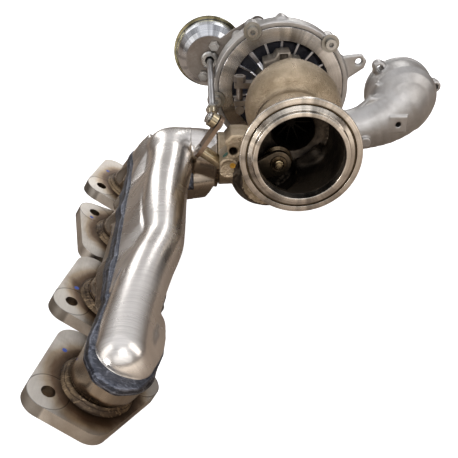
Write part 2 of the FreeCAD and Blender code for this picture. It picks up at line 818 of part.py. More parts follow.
def blade(stations, thickness, turn):
    """One blade from quads of (along, root radius, tip radius, twist in degrees)."""
    wires = []
    for along, root, tip, twist in stations:
        bearing_angle = math.radians(twist + turn)
        out = Vector(math.cos(bearing_angle), 0, math.sin(bearing_angle))
        side = Vector(-math.sin(bearing_angle), 0, math.cos(bearing_angle)) * (thickness / 2)
        base = Vector(0, along, 0)
        corners = [base + out * root - side, base + out * tip - side * 0.6,
                   base + out * tip + side * 0.6, base + out * root + side]
        wires.append(Part.makePolygon(corners + corners[:1]))
    return Part.makeLoft(wires, True, True)


def build_turbine_wheel():
    big, small = D.turbine_inducer_radius.number, D.turbine_exducer_radius.number
    hub = spun([(0, 78), (4, 78), (5.2, 82), (5.8, 90), (8, 97), (12, 103.5), (18, 108.5), (big - 1.5, 110.5),
                (big - 1.5, 112), (0, 112)])
    stations = [(80, 3, small, -34), (84, 3, small, -26), (88, 4, small + 0.6, -17), (92, 4, small + 3.2, -10),
                (96, 5, big, -5), (100, 7, big, -2), (104, 8, big, 0), (110.8, 8, big, 0)]
    blades = [blade(stations, 1.5, i * 360 / 11) for i in range(11)]
    return join([hub] + blades)


def build_compressor_wheel():
    big, eye = D.compressor_wheel_radius.number, D.inducer_radius.number
    hub = spun([(D.shaft_thread_radius.number + 0.02, 184), (big - 0.2, 184), (big - 0.2, 185.2), (20, 186.8),
                (14, 190), (10, 195), (7.6, 201), (6.6, 208), (D.shaft_thread_radius.number + 0.02, 208)])
    stations = [(184.6, 8, big, 0), (188, 8, big, 3), (190.5, 7, big - 2.8, 7), (193.5, 6, eye + 1.2, 13),
                (197, 6, eye, 21), (202, 5, eye, 33), (206.8, 5, eye, 44)]
    blades = [blade(stations, 1.0, i * 60) for i in range(6)]
    splitters = [blade(stations[:5], 1.0, 30 + i * 60) for i in range(6)]
    return join([hub] + blades + splitters)


shaped("turbine_wheel", build_turbine_wheel())
shaped("compressor_wheel", build_compressor_wheel())
nut = hexagon(6.2, 6.5, y_axis_frame(0, 208.02, 0))
nut_hole = cylinder(D.shaft_thread_radius + 0.02, 12.0, y_axis_frame(0, 206, 0))
node(cut(nut, nut_hole), "shaft_nut")

# ---------------------------------------------------------------- compressor housing

COMPRESSOR_SCROLL = [
    (70, 46.0, 7.0), (90, 46.0, 8.5), (130, 47.0, 9.8), (180, 48.0, 11.2), (225, 49.0, 12.8),
    (270, 50.5, 14.5), (315, 53.0, 17.0), (360, 56.0, 19.5),
]
BOLT_BEARINGS = [-98.5, -26.5, 45.5, 117.5, 189.5]
EAR_BEARINGS = [11, 131, 251]


def bolt_spots():
    reach = D.bolt_circle_radius.number
    return [(reach * math.sin(math.radians(b)), reach * math.cos(math.radians(b))) for b in BOLT_BEARINGS]


def ear_spots():
    x, z, r = D.drum_middle_across.number, D.drum_middle_up.number, D.ear_circle_radius.number
    return [(x + r * math.cos(math.radians(b)), z + r * math.sin(math.radians(b))) for b in EAR_BEARINGS]


def build_compressor_housing():
    wall = D.compressor_wall.number
    rim, front, back = D.rim_radius.number, D.rim_front.number, D.plate_back.number
    seat = D.plate_outer_radius.number + 0.06
    drum_x, drum_z = D.drum_middle_across.number, D.drum_middle_up.number
    mouth = D.drum_mouth.number
    drum = D.drum_radius.number
    inlet = D.inlet_outer_radius.number

    skin = spun([
        (0, 180), (seat - 1, 180), (seat - 1, front), (rim, front), (rim, 186), (58, 192), (34, 196),
        (inlet + 0.4, 204), (inlet + 0.4, 236), (inlet, 236), (inlet, D.inlet_end - 1),
        (inlet - 1, D.inlet_end),
        (0, D.inlet_end),
    ])
    scroll = tube_loft(scroll_stations(COMPRESSOR_SCROLL, lambda radius: back + radius))
    hollow = tube_loft(scroll_stations(COMPRESSOR_SCROLL, lambda radius: back + radius), shrink=wall)
    path = [((0, 201.5, -56.5), (1, 0, 0), 19.4), ((35, 201.5, -60), (1, 0, 0), 20.5),
            ((75, 202.5, -59.5), (0.99, 0.1, 0.08), 21.6), ((104, 209, -50), (0.86, 0.36, 0.36), 24.0),
            ((126, 221, -39), (0.75, 0.5, 0.43), 28.0)]
    pipe = tube_loft(path)
    pipe_hole = tube_loft(path, shrink=wall)
    dome = spun([(0, 200.5), (14, 201.5), (24, 205), (31, 210.5), (drum, 219), (drum, mouth - 7),
                 (drum + 1.6, mouth - 6), (drum + 1.6, mouth), (0, mouth)])
    dome.translate(Vector(drum_x, 0, drum_z))
    dome_hole = spun([(0, 204), (14, 205), (22, 208), (28, 214), (D.mouth_bore_radius, 220),
                      (D.mouth_bore_radius, mouth + 1), (0, mouth + 1)])
    dome_hole.translate(Vector(drum_x, 0, drum_z))
    ears = [rod_y(6.8, mouth - 12, mouth, x, z) for x, z in ear_spots()]
    bosses = [rod_y(D.boss_radius, D.plate_front, 188, x, z) for x, z in bolt_spots()]
    seats = [rod_y(6.5, 196, 214.9, -40, 40), rod_y(6.5, 196, 214.9, -20, 52)]
    lug = hull_y([(60, 20), (76, 25.5)], 7.0, 170, 176)
    pad_block = prism_y([(118, -56), (137, -56), (137, -38), (118, -38)], 186, 216)
    gusset = prism_y([(88, -46), (112, -46), (112, -30), (100, -26)], 199, 214)
    knob = rod_y(5.5, 180, 200, 93, -64)
    nub = rod_y(5.6, 174, 188, 0, 64)
    whole = skin.fuse([scroll, pipe, dome] + ears + bosses + seats + [lug, pad_block, gusset, knob, nub])

    register = spun([(0, 150), (seat, 150), (seat, back + 0.02), (0, back + 0.02)])
    wheel_room = spun([
        (0, 180), (27.8, 180), (27.8, 188.4), (25.2, 190.9), (22.4, 193.8), (21.3, 197), (21.3, 212),
        (26.5, 236), (28, 240), (28, 270), (0, 270),
    ])
    diffuser = spun([(20, 181), (48, 181), (48, D.diffuser_back), (20, D.diffuser_back)])
    taps = [rod_y(D.bolt_radius + 0.05, 150, 186, x, z) for x, z in bolt_spots()]
    ear_holes = [rod_y(3.3, mouth - 30, mouth + 1, x, z) for x, z in ear_spots()]
    seat_holes = [rod_y(3.05, 200, 216, -40, 40), rod_y(3.05, 200, 216, -20, 52)]
    lug_hole = rod_y(3.2, 160, 190, 76, 25.5)
    pad_hole = rod_y(2.5, 180, 198, 127.5, -47)
    return remove(whole, [register, wheel_room, diffuser, hollow, pipe_hole, dome_hole] + taps + ear_holes
                  + seat_holes + [lug_hole, pad_hole])


shaped("compressor_housing", build_compressor_housing())

front_face = D.plate_front.number
heads = []
washers = []
for x, z in bolt_spots():
    head = cylinder(5.0, 5.0, y_axis_frame(x, front_face - 6.9, z))
    socket = hexagon(2.6, 3.4, y_axis_frame(x, front_face - 7.2, z))
    shank = cylinder(D.bolt_radius, 20.0, y_axis_frame(x, front_face - 1.95, z))
    heads.append(fused([cut(head, socket), shank]))
    disc = cylinder(8.6, 1.8, y_axis_frame(x, front_face - 1.85, z))
    opening = cylinder(D.bolt_radius + 0.05, 4.0, y_axis_frame(x, front_face - 3, z))
    washers.append(cut(disc, opening))
group("compressor_bolts", heads)
group("bolt_washers", washers)

# ---------------------------------------------------------------- actuator


def build_bracket():
    front = D.can_front.number - D.bracket_thickness.number
    back = D.can_front.number - 0.02
    disc = rod_y(D.bracket_disc_radius, front, back, -69, 16)
    first = hull_y([(-62, 24), (-40, 40)], 8.0, front, back)
    second = hull_y([(-40, 40), (-20, 52)], 7.5, front, back)
    plate = join([disc, first, second])
    holes = [rod_y(4.6, 200, 230, -69, 16), rod_y(3.05, 200, 230, -69 + 4.7, 16 + 14.7),
             rod_y(3.05, 200, 230, -69 - 6.8, 16 - 16.2), rod_y(3.1, 200, 230, -40, 40), rod_y(3.1, 200, 230, -20, 52)]
    shaped("actuator_bracket", remove(plate, holes))
    bolts = []
    for x, z in [(-40, 40), (-20, 52)]:
        head = hexagon(5.4, 4.5, y_axis_frame(x, 218.0, z))
        shank = cylinder(3.0, 15.0, y_axis_frame(x, 203.5, z))
        bolts.append(fused([head, shank]))
    group("bracket_bolts", bolts)
    nuts = []
    studs = []
    for x, z in [(4.7, 14.7), (-6.8, -16.2)]:
        body = hexagon(5.4, 4.4, y_axis_frame(-69 + x, front - 4.42, 16 + z))
        bore = cylinder(3.02, 8.0, y_axis_frame(-69 + x, front - 6, 16 + z))
        nuts.append(cut(body, bore))
        studs.append(cylinder(3.0, 11.0, y_axis_frame(-69 + x, front - 7.4, 16 + z)))
    group("actuator_nuts", nuts)
    group("actuator_studs", studs)


build_bracket()
turned("rod_guide_ring", [
    (4.6, 211.4), (7.6, 211.4), (9.0, 212.6), (9.0, 214.98), (4.6, 214.98),
], ACTUATOR_FRAME)
front_shell = spun([
    (5.0, D.can_front), (24.0, D.can_front), (28.5, 222.0), (32.5, 230.0), (34.2, 240.0), (34.2, 243.7),
    (D.can_radius, 243.7), (D.can_radius, 244.95), (33.0, 244.95), (33.0, 240.0), (31.3, 230.6),
    (27.6, 223.1), (23.6, 219.2), (5.0, 219.2),
])
for x, z in [(4.7, 14.7), (-6.8, -16.2)]:
    front_shell = front_shell.cut(rod_y(3.02, 210, 222, x, z))
shaped("actuator_front_shell", front_shell, ACTUATOR_FRAME)
turned("actuator_rear_shell", [
    (3.15, 265.8), (20.0, 265.8), (27.5, 262.0), (31.6, 254.0), (32.2, 246.1), (D.can_radius, 246.1),
    (D.can_radius + 0.05, 243.6), (34.9, 243.6), (34.9, 242.4), (D.can_radius + 1.2, 242.4),
    (D.can_radius + 1.2, 247.3), (33.4, 247.3), (32.8, 254.4), (28.4, 263.0), (20.4, 267.0), (3.15, 267.0),
], ACTUATOR_FRAME)
turned("vacuum_nipple", [
    (1.8, 262.0), (5.0, 262.0), (5.0, 265.78), (3.1, 265.78), (3.1, 267.4), (3.3, 267.4), (3.3, 279.3),
    (2.6, 280.0), (1.8, 280.0),
], ACTUATOR_FRAME)
turned("diaphragm", [
    (3.1, 245.45), (22.0, 245.45), (26.5, 241.5), (29.0, 241.5), (31.0, 245.0), (35.9, 245.0), (35.9, 246.0),
    (30.6, 246.0), (28.6, 242.5), (26.9, 242.5), (22.4, 246.45), (3.1, 246.45),
], ACTUATOR_FRAME)
turned("piston_plate", [
    (3.1, 243.9), (20.0, 243.9), (21.5, 238.5), (22.7, 238.5), (21.2, 245.4), (3.1, 245.4),
], ACTUATOR_FRAME)


def build_spring():
    wire, radius, turns, arcs = 1.2, 16.0, 4, 8
    low, high = D.can_front.number + 2.6, 242.5
    pitch = (high - low) / turns
    slope = math.atan(pitch / (2 * math.pi * radius))
    helix = Part.makeHelix(pitch, pitch / arcs, radius)
    across = Vector(0, math.cos(slope), math.sin(slope))
    section = Part.Wire(Part.makeCircle(wire, Vector(radius, 0, 0), across))
    arc = Part.Wire(helix.Edges).makePipeShell([section], True, True)
    pieces = []
    for i in range(turns * arcs):
        piece = arc.copy()
        piece.Placement = Placement(Vector(0, 0, i * pitch / arcs), Rotation(Vector(0, 0, 1), 360 * i / arcs))
        pieces.append(piece)
    coil = pieces[0].fuse(pieces[1:])
    coil.Placement = Placement(Vector(0, low, 0), Rotation(Vector(1, 0, 0), -90))
    return coil


shaped("actuator_spring", build_spring(), ACTUATOR_FRAME)
turned("actuator_rod", [
    (0, 56.0), (D.rod_radius, 56.0), (D.rod_radius, 243.85), (6.0, 243.85), (6.0, 243.87), (3.08, 243.87),
    (3.08, 249.0), (0, 249.0),
], ACTUATOR_FRAME)
turned("rod_nut", [(3.1, 246.5), (6.0, 246.5), (6.0, 249.0), (3.1, 249.0)], ACTUATOR_FRAME)


def build_rod_end():
    pin_y = SPINDLE_FRAME.multVec(Vector(0, D.pin_along_shaft.number, 0)).y
    eye = x_disc(6.4, -20.4, -15.0)
    hole = x_disc(D.pin_radius.number + 0.04, -30, 0)
    middle = D.pin_middle.number
    neck = rod_y(3.6, 3.0, 10.0, middle, 0)
    shank = rod_y(4.4, 9.4, 21.0, middle, 0)
    whole = join([eye, neck, shank])
    return remove(whole, [hole, rod_y(D.rod_radius.number + 0.02, 10.4 - 0.05, 30, middle, 0)])


shaped("rod_end", build_rod_end(), PIN_FRAME)
locknut = hexagon(5.6, 4.0, y_axis_frame(-69, 66.7, 16))
locknut_hole = cylinder(D.rod_radius + 0.02, 8.0, y_axis_frame(-69, 65, 16))
node(cut(locknut, locknut_hole), "rod_locknut")

doc.recompute()

for obj in doc.Objects:
    states = set(obj.State)
    if states & {"Invalid", "Error"}:
        raise RuntimeError("%s is %s" % (obj.Label, obj.State))
for obj in NODES:
    if obj.Shape.isNull() or not obj.Shape.isValid():
        raise RuntimeError("the shape of %s is not valid" % obj.Label)
    obj.Shape.exportStep("parts/%s.step" % obj.Label)
    box = obj.Shape.BoundBox
    print("%-24s solids %d  volume %9.1f  y %7.1f %7.1f" % (
        obj.Label, len(obj.Shape.Solids), obj.Shape.Volume, box.YMin, box.YMax))
print("nodes", len(NODES))
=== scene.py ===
import functools
import math

import bmesh
import bpy
import numpy as np
from mathutils import Matrix, Vector


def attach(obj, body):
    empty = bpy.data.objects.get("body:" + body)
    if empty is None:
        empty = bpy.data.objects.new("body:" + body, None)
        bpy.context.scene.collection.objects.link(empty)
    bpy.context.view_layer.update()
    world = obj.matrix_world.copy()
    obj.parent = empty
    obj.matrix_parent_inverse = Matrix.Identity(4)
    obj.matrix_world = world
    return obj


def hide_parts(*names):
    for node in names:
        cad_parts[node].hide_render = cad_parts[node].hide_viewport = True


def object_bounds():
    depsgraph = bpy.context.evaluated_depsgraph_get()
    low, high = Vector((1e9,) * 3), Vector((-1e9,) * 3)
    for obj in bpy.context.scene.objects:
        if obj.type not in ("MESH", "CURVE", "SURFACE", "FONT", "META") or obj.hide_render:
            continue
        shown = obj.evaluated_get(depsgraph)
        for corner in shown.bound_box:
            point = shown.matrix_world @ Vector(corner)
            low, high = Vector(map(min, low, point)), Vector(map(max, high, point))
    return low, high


# Looks for the turbocharger: the CAD pieces with simple shapes keep their meshes and get
# materials, and the cast, pressed and welded ones are rebuilt as smooth blended solids.
# Lengths are millimetres until a mesh is made, and metres in the materials, the stage and the lights.

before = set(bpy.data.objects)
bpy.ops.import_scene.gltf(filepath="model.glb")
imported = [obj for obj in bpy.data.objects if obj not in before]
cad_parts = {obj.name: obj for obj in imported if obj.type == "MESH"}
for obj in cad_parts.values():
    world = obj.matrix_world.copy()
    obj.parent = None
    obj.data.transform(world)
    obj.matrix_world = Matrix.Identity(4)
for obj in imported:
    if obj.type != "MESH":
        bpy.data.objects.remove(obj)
CAD_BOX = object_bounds()
MM = 0.001

# ---- placements

# The flange plane is tilted 30 degrees about Y: its points are (across, along the head, up from it).
C30, S30 = math.cos(math.radians(30)), math.sin(math.radians(30))
FLANGE = Matrix(((C30, 0, S30, -170.7), (0, 1, 0, 0), (-S30, 0, C30, -59.4), (0, 0, 0, 1)))
# The wastegate's spindle runs along the X of its own frame.
SPINDLE = Matrix(((0.8, 0, 0.6, -70), (0, 1, 0, 40), (-0.6, 0, 0.8, -15), (0, 0, 0, 1)))
IDENTITY = Matrix.Identity(4)
PORT_PITCH = 90.0
PORTS = [-171.0 + PORT_PITCH * i for i in range(4)]
# Dabs of paint on the turbine housing: place, radius and colour, in metres.
PAINT_DABS = [((-0.0535, 0.0190, -0.0135), 0.0034, (0.62, 0.33, 0.04)),
              ((-0.0595, 0.0250, -0.0060), 0.0040, (0.01, 0.16, 0.12))]
# Dots of blue paint on the flanges: metres across and along the flange plane.
PAINT_SPOTS = [(0.0035, -0.1509), (0.0012, -0.0835), (-0.0014, 0.0192), (0.0022, 0.113)]


# ---- materials


class Nodes:
    """Shorthand for building the node tree of a material or a world."""

    def __init__(self, owner, kind="Material", coordinates="Object"):
        self.owner = owner
        owner.use_nodes = True
        self.tree = owner.node_tree
        self.tree.nodes.clear()
        self.output = self.add("ShaderNodeOutput" + kind).inputs["Surface"]
        self.coordinates = self.add("ShaderNodeTexCoord").outputs[coordinates]

    def add(self, kind, **settings):
        made = self.tree.nodes.new(kind)
        for key, value in settings.items():
            setattr(made, key, value)
        return made

    def link(self, source, target):
        self.tree.links.new(source, target)

    def feed(self, node, **values):
        """Set or link a node's inputs by name, with _ for a space."""
        for key, value in values.items():
            self.put(node.inputs[key.replace("_", " ")], value)

    def put(self, socket, value):
        if isinstance(value, (int, float)):
            socket.default_value = value
        elif isinstance(value, (tuple, list)):
            socket.default_value = (*value, 1.0) if len(value) == 3 else value
        else:
            self.link(value, socket)

    def noise(self, scale, detail=3.0, roughness=0.55, stretch=None, distortion=0.0):
        """Noise with the scale in features per metre; stretch squeezes it along an axis."""
        source = self.coordinates
        if stretch is not None:
            mapping = self.add("ShaderNodeMapping")
            mapping.inputs["Scale"].default_value = stretch
            self.feed(mapping, Vector=source)
            source = mapping.outputs[0]
        made = self.add("ShaderNodeTexNoise")
        self.feed(made, Vector=source, Scale=scale, Detail=detail, Roughness=roughness, Distortion=distortion)
        return made.outputs["Fac"]

    def bands(self, value, scale, detail=2.0):
        """Noise along one value, such as rings on a radius or layers on a height."""
        made = self.add("ShaderNodeTexNoise", noise_dimensions="1D")
        self.feed(made, W=value, Scale=scale, Detail=detail)
        return made.outputs["Fac"]

    def pebbles(self, scale):
        made = self.add("ShaderNodeTexVoronoi", feature="SMOOTH_F1")
        self.feed(made, Vector=self.coordinates, Scale=scale, Smoothness=0.7)
        return made.outputs["Distance"]

    def ramp(self, factor, stops):
        made = self.add("ShaderNodeValToRGB")
        elements = made.color_ramp.elements
        while len(elements) > 1:
            elements.remove(elements[-1])
        for i, (position, colour) in enumerate(stops):
            element = elements[0] if i == 0 else elements.new(position)
            element.position = position
            element.color = (*colour, 1.0)
        self.feed(made, Fac=factor)
        return made.outputs["Color"]

    def mix(self, factor, first, second, blend="MIX"):
        made = self.add("ShaderNodeMix", data_type="RGBA", blend_type=blend)
        self.put(made.inputs["Factor"], factor)
        self.put(made.inputs[6], first)
        self.put(made.inputs[7], second)
        return made.outputs[2]

    def calc(self, operation, first, second=0.0):
        made = self.add("ShaderNodeMath", operation=operation)
        self.put(made.inputs[0], first)
        self.put(made.inputs[1], second)
        return made.outputs[0]

    def plus(self, first, second):
        return self.calc("ADD", first, second)

    def minus(self, first, second):
        return self.calc("SUBTRACT", first, second)

    def times(self, first, second):
        return self.calc("MULTIPLY", first, second)

    def hypotenuse(self, first, second):
        return self.calc("SQRT", self.plus(self.times(first, first), self.times(second, second)))

    def span(self, value, low, high, to_low=0.0, to_high=1.0):
        """An eased step from to_low to to_high as the value goes from low to high."""
        made = self.add("ShaderNodeMapRange", interpolation_type="SMOOTHSTEP")
        self.feed(made, Value=value, From_Min=low, From_Max=high, To_Min=to_low, To_Max=to_high)
        return made.outputs["Result"]

    def axis(self, index, origin=0.0):
        """Distance along one object axis from an origin, in metres."""
        made = self.add("ShaderNodeSeparateXYZ")
        self.link(self.coordinates, made.inputs[0])
        return self.minus(made.outputs[index], origin)

    def hollows(self, colour, distance, low, high, floor):
        """The colour with painted shade: darkened down to a share of it in hollows narrower than the
        distance.
        """
        near = self.add("ShaderNodeAmbientOcclusion", samples=6, only_local=False)
        self.feed(near, Distance=distance)
        return self.mix(1.0, colour, self.span(near.outputs["AO"], low, high, floor), "MULTIPLY")

    def bump(self, height, strength, distance, under=None):
        made = self.add("ShaderNodeBump")
        self.feed(made, Strength=strength, Distance=distance, Height=height)
        if under is not None:
            self.feed(made, Normal=under)
        return made.outputs["Normal"]

    def finish(self, colour, roughness, metallic=1.0, normal=None, anisotropy=0.0, tangent=None):
        """End the tree in a Principled shader; returns the owner."""
        self.shader = self.add("ShaderNodeBsdfPrincipled")
        self.feed(self.shader, Base_Color=colour, Roughness=roughness, Metallic=metallic)
        if normal is not None:
            self.feed(self.shader, Normal=normal)
        if anisotropy:
            self.feed(self.shader, Anisotropic=anisotropy, Tangent=tangent)
        self.link(self.shader.outputs[0], self.output)
        return self.owner

    def one_colour(self, kind, colour, strength):
        """A background or glow of one colour."""
        made = self.add(kind)
        self.feed(made, Color=colour, Strength=strength)
        return made.outputs[0]

    def seen_apart(self, lighting, seen):
        """One shader lights the scene and another is what the camera sees."""
        either = self.add("ShaderNodeMixShader")
        path = self.add("ShaderNodeLightPath")
        for source, target in zip((path.outputs["Is Camera Ray"], lighting, seen), either.inputs):
            self.link(source, target)
        self.link(either.outputs[0], self.output)


def new_nodes(name):
    return Nodes(bpy.data.materials.new(name))


def shaded(colour, share):
    return [min(1.0, c * share) for c in colour]


def cast_metal(name, light, dark, grain, depth, rough=(0.38, 0.6), metallic=0.9, hollow_shade=0.55, dabs=()):
    """Sand-cast surface: pebbly skin, blotches, painted shade in the hollows, rubbed edges and any dabs of
    paint.
    """
    n = new_nodes(name)
    blotch = n.noise(38.0, 4.0, 0.6)
    fine = n.noise(grain * 2.2, 3.0, 0.65)
    skin = n.plus(n.times(n.pebbles(grain), 0.7), n.times(fine, 0.6))
    colour = n.mix(n.span(blotch, 0.35, 0.68), dark, light)
    speckle = n.span(n.noise(grain * 1.4, 2.0), 0.56, 0.72)
    colour = n.mix(n.times(speckle, 0.28), colour, shaded(dark, 0.55))
    # Painted shade: the colour is darkened in hollows.
    colour = n.hollows(colour, 0.012, 0.35, 0.95, hollow_shade)
    outward = n.add("ShaderNodeNewGeometry").outputs["Pointiness"]
    rubbed = n.span(outward, 0.515, 0.56, 0.0, 0.45)
    colour = n.mix(rubbed, colour, shaded(light, 1.35))
    roughness = n.span(blotch, 0.3, 0.7, rough[1], rough[0])
    for place, size, shade in dabs:
        gap = n.add("ShaderNodeVectorMath", operation="DISTANCE")
        n.link(n.coordinates, gap.inputs[0])
        gap.inputs[1].default_value = place
        ragged = n.plus(gap.outputs["Value"], n.times(fine, 0.0014))
        colour = n.mix(n.span(ragged, size * 0.85, size, 0.9, 0.0), colour, shade)
    return n.finish(colour, roughness, metallic, n.bump(skin, 0.55, depth))


def satin_metal(name, light, dark, rough=0.28, stretch=(1.0, 1.0, 1.0), scale=900.0, marks=0.25):
    """Drawn or ground metal: fine directional lines, soft smudges and a few darker marks."""
    n = new_nodes(name)
    smudge = n.noise(30.0, 4.0, 0.6, distortion=0.6)
    lines = n.noise(scale, 2.0, 0.6, stretch=stretch)
    colour = n.mix(n.span(smudge, 0.3, 0.7), dark, light)
    colour = n.mix(n.times(n.span(lines, 0.35, 0.75), 0.25), colour, shaded(dark, 0.7))
    mark = n.span(n.noise(160.0, 3.0, 0.7), 0.66, 0.74, 0.0, marks)
    colour = n.mix(mark, colour, shaded(dark, 0.35))
    colour = n.hollows(colour, 0.006, 0.3, 0.9, 0.5)
    roughness = n.plus(n.span(smudge, 0.25, 0.75, rough - 0.06, rough + 0.1), n.times(lines, 0.08))
    return n.finish(colour, roughness, 1.0, n.bump(lines, 0.35, 0.00004))


def turned_metal(name, light, dark, rough=0.22, centre=(0.0, 0.0), anisotropy=0.75):
    """Lathe-faced metal around an axis along Y: fine rings, fan-shaped highlights from the lamps, and painted
    fan-shaped highlights in the colour.
    """
    n = new_nodes(name)
    x = n.axis(0, centre[0])
    z = n.axis(2, centre[1])
    rings = n.bands(n.hypotenuse(x, z), 1500.0)
    smudge = n.noise(40.0, 3.0)
    colour = n.mix(n.span(rings, 0.3, 0.7), dark, light)
    colour = n.mix(n.span(smudge, 0.5, 0.8, 0.0, 0.25), colour, shaded(dark, 0.75))
    # Painted highlights: the colour is lighter and darker in fan-shaped sectors round the axis, standing in
    # for the fans of light that turned metal reflects.
    painted_fans = n.bands(n.calc("PINGPONG", n.calc("ARCTAN2", z, x), math.pi), 2.6, 3.0)
    colour = n.mix(1.0, colour, n.span(painted_fans, 0.36, 0.58, 0.5, 1.0), "MULTIPLY")
    colour = n.hollows(colour, 0.006, 0.3, 0.9, 0.45)
    roughness = n.span(smudge, 0.3, 0.7, rough - 0.04, rough + 0.08)
    outward = n.add("ShaderNodeCombineXYZ")
    n.feed(outward, X=x, Z=z)
    unit = n.add("ShaderNodeVectorMath", operation="NORMALIZE")
    n.link(outward.outputs[0], unit.inputs[0])
    return n.finish(colour, roughness, 1.0, n.bump(rings, 0.25, 0.00003), anisotropy, unit.outputs[0])


def tinted_sheet(name, light, dark, warm, cool):
    """Pressed stainless with long grain, weld heat colours and scattered dark marks.
    A mesh attribute says how far a point has been heated, and on the lower shell's near end it also carries
    painted shade."""
    n = new_nodes(name)
    smudge = n.noise(22.0, 4.0, 0.6, distortion=0.8)
    grain = n.noise(1000.0, 2.0, 0.6, stretch=(0.05, 1.0, 0.05))
    attribute = n.add("ShaderNodeAttribute", attribute_name="heat")
    heat = n.plus(attribute.outputs["Fac"], n.times(n.minus(smudge, 0.5), 0.35))
    tint = n.ramp(heat, [(0.0, light), (0.34, light), (0.5, cool), (0.62, warm), (0.8, dark), (1.0, dark)])
    colour = n.mix(n.times(n.span(grain, 0.35, 0.75), 0.16), tint, shaded(dark, 0.6))
    mark = n.span(n.noise(300.0, 2.0, 0.7), 0.73, 0.79, 0.0, 0.35)
    colour = n.mix(mark, colour, (0.08, 0.07, 0.075))
    colour = n.hollows(colour, 0.01, 0.25, 0.9, 0.45)
    roughness = n.plus(n.span(smudge, 0.25, 0.75, 0.23, 0.3), n.times(heat, 0.24))
    normal = n.bump(grain, 0.3, 0.00003, n.bump(n.noise(25.0, 1.0), 0.08, 0.0006))
    return n.finish(colour, roughness, 1.0, normal)


def flange_plate(name, light, dark):
    """Machined plate with a scribed ring round each stud hole, soot round each port and paint dots."""
    n = new_nodes(name)
    smudge = n.noise(35.0, 4.0, 0.6, distortion=0.6)
    lines = n.noise(900.0, 2.0, 0.6, stretch=(1.0, 0.12, 1.0))
    colour = n.mix(n.span(smudge, 0.3, 0.7), dark, light)
    colour = n.mix(n.times(n.span(lines, 0.35, 0.75), 0.2), colour, shaded(dark, 0.7))
    along = n.axis(1)
    across = n.minus(n.times(n.axis(0, FLANGE[0][3] * MM), C30), n.times(n.axis(2, FLANGE[2][3] * MM), S30))
    # Each flange in its own coordinates; the third one is a mirror image of the others.
    half_pitch = PORT_PITCH * MM / 2
    start = half_pitch - PORTS[0] * MM
    local = n.minus(n.calc("MODULO", n.plus(along, start), PORT_PITCH * MM), half_pitch)
    third = n.calc("COMPARE", along, PORTS[2] * MM)
    third.node.inputs[2].default_value = half_pitch
    mirrored = n.times(local, n.minus(1.0, n.times(third, 2.0)))

    def reach(value, middle, other, spot):
        return n.hypotenuse(n.minus(value, middle), n.minus(other, spot))

    port_across, stud_along = 0.0285, 0.0195
    to_hole = n.calc("MINIMUM", reach(across, 0.0, mirrored, -stud_along),
                     reach(across, 2 * port_across, mirrored, stud_along))
    ring = n.span(n.calc("ABSOLUTE", n.minus(to_hole, 0.0134)), 0.0002, 0.0006, 0.65, 0.0)
    pad = n.span(to_hole, 0.0128, 0.0136, 0.35, 0.0)
    colour = n.mix(pad, colour, shaded(light, 1.12))
    colour = n.mix(ring, colour, shaded(dark, 0.25))
    to_port = n.plus(reach(across, port_across, local, 0.0), n.times(smudge, 0.012))
    soot = n.ramp(n.span(to_port, 0.027, 0.047), [
        (0.0, (0.12, 0.085, 0.06)), (0.35, (0.28, 0.2, 0.145)), (0.68, (0.72, 0.62, 0.5)), (1.0, (1, 1, 1))])
    colour = n.mix(1.0, colour, soot, "MULTIPLY")
    dots = [reach(across, spot[0], along, spot[1]) for spot in PAINT_SPOTS]
    to_dot = functools.reduce(lambda first, second: n.calc("MINIMUM", first, second), dots)
    wobble = n.times(n.noise(500.0, 2.0), 0.0016)
    paint = n.span(n.plus(to_dot, wobble), 0.0022, 0.0028, 0.9, 0.0)
    colour = n.mix(paint, colour, (0.015, 0.07, 0.42))
    colour = n.hollows(colour, 0.012, 0.3, 0.95, 0.3)
    roughness = n.plus(n.span(smudge, 0.25, 0.75, 0.3, 0.42), n.times(lines, 0.06))
    normal = n.bump(lines, 0.3, 0.00004, n.bump(ring, 0.5, -0.0003))
    return n.finish(colour, roughness, n.minus(1.0, paint), normal)


def weld_metal(name, light, dark, ripple=420.0):
    """A weld strip: heaped ripples with blue-grey oxide, and painted highlights on the ripple crowns."""
    n = new_nodes(name)
    ripples = n.noise(ripple, 2.0, 0.5, stretch=(0.5, 1.0, 0.5), distortion=1.2)
    patches = n.noise(70.0, 4.0, 0.65)
    height = n.plus(n.times(n.axis(0), S30), n.times(n.axis(2), C30))
    runs = n.bands(n.plus(height, n.times(patches, 0.004)), 520.0)
    colour = n.mix(n.span(patches, 0.35, 0.7), dark, light)
    colour = n.mix(n.span(runs, 0.42, 0.6, 0.75, 0.0), colour, shaded(dark, 0.5))
    # Painted highlight: the crowns of the ripples are lightened.
    colour = n.mix(n.span(ripples, 0.5, 0.75, 0.0, 0.5), colour, shaded(light, 1.8))
    roughness = n.span(patches, 0.3, 0.7, 0.28, 0.5)
    normal = n.bump(ripples, 0.5, 0.0005, n.bump(runs, 0.7, 0.0009))
    return n.finish(colour, roughness, 1.0, normal)


def plain_finish(name, colour, metallic=0.0):
    """A dull even surface with a fine grain."""
    n = new_nodes(name)
    spots = n.noise(500.0, 3.0)
    shade = n.mix(n.span(spots, 0.3, 0.7), shaded(colour, 0.75), colour)
    return n.finish(shade, n.span(spots, 0.3, 0.7, 0.54, 0.66), metallic, n.bump(spots, 0.3, 0.0001))


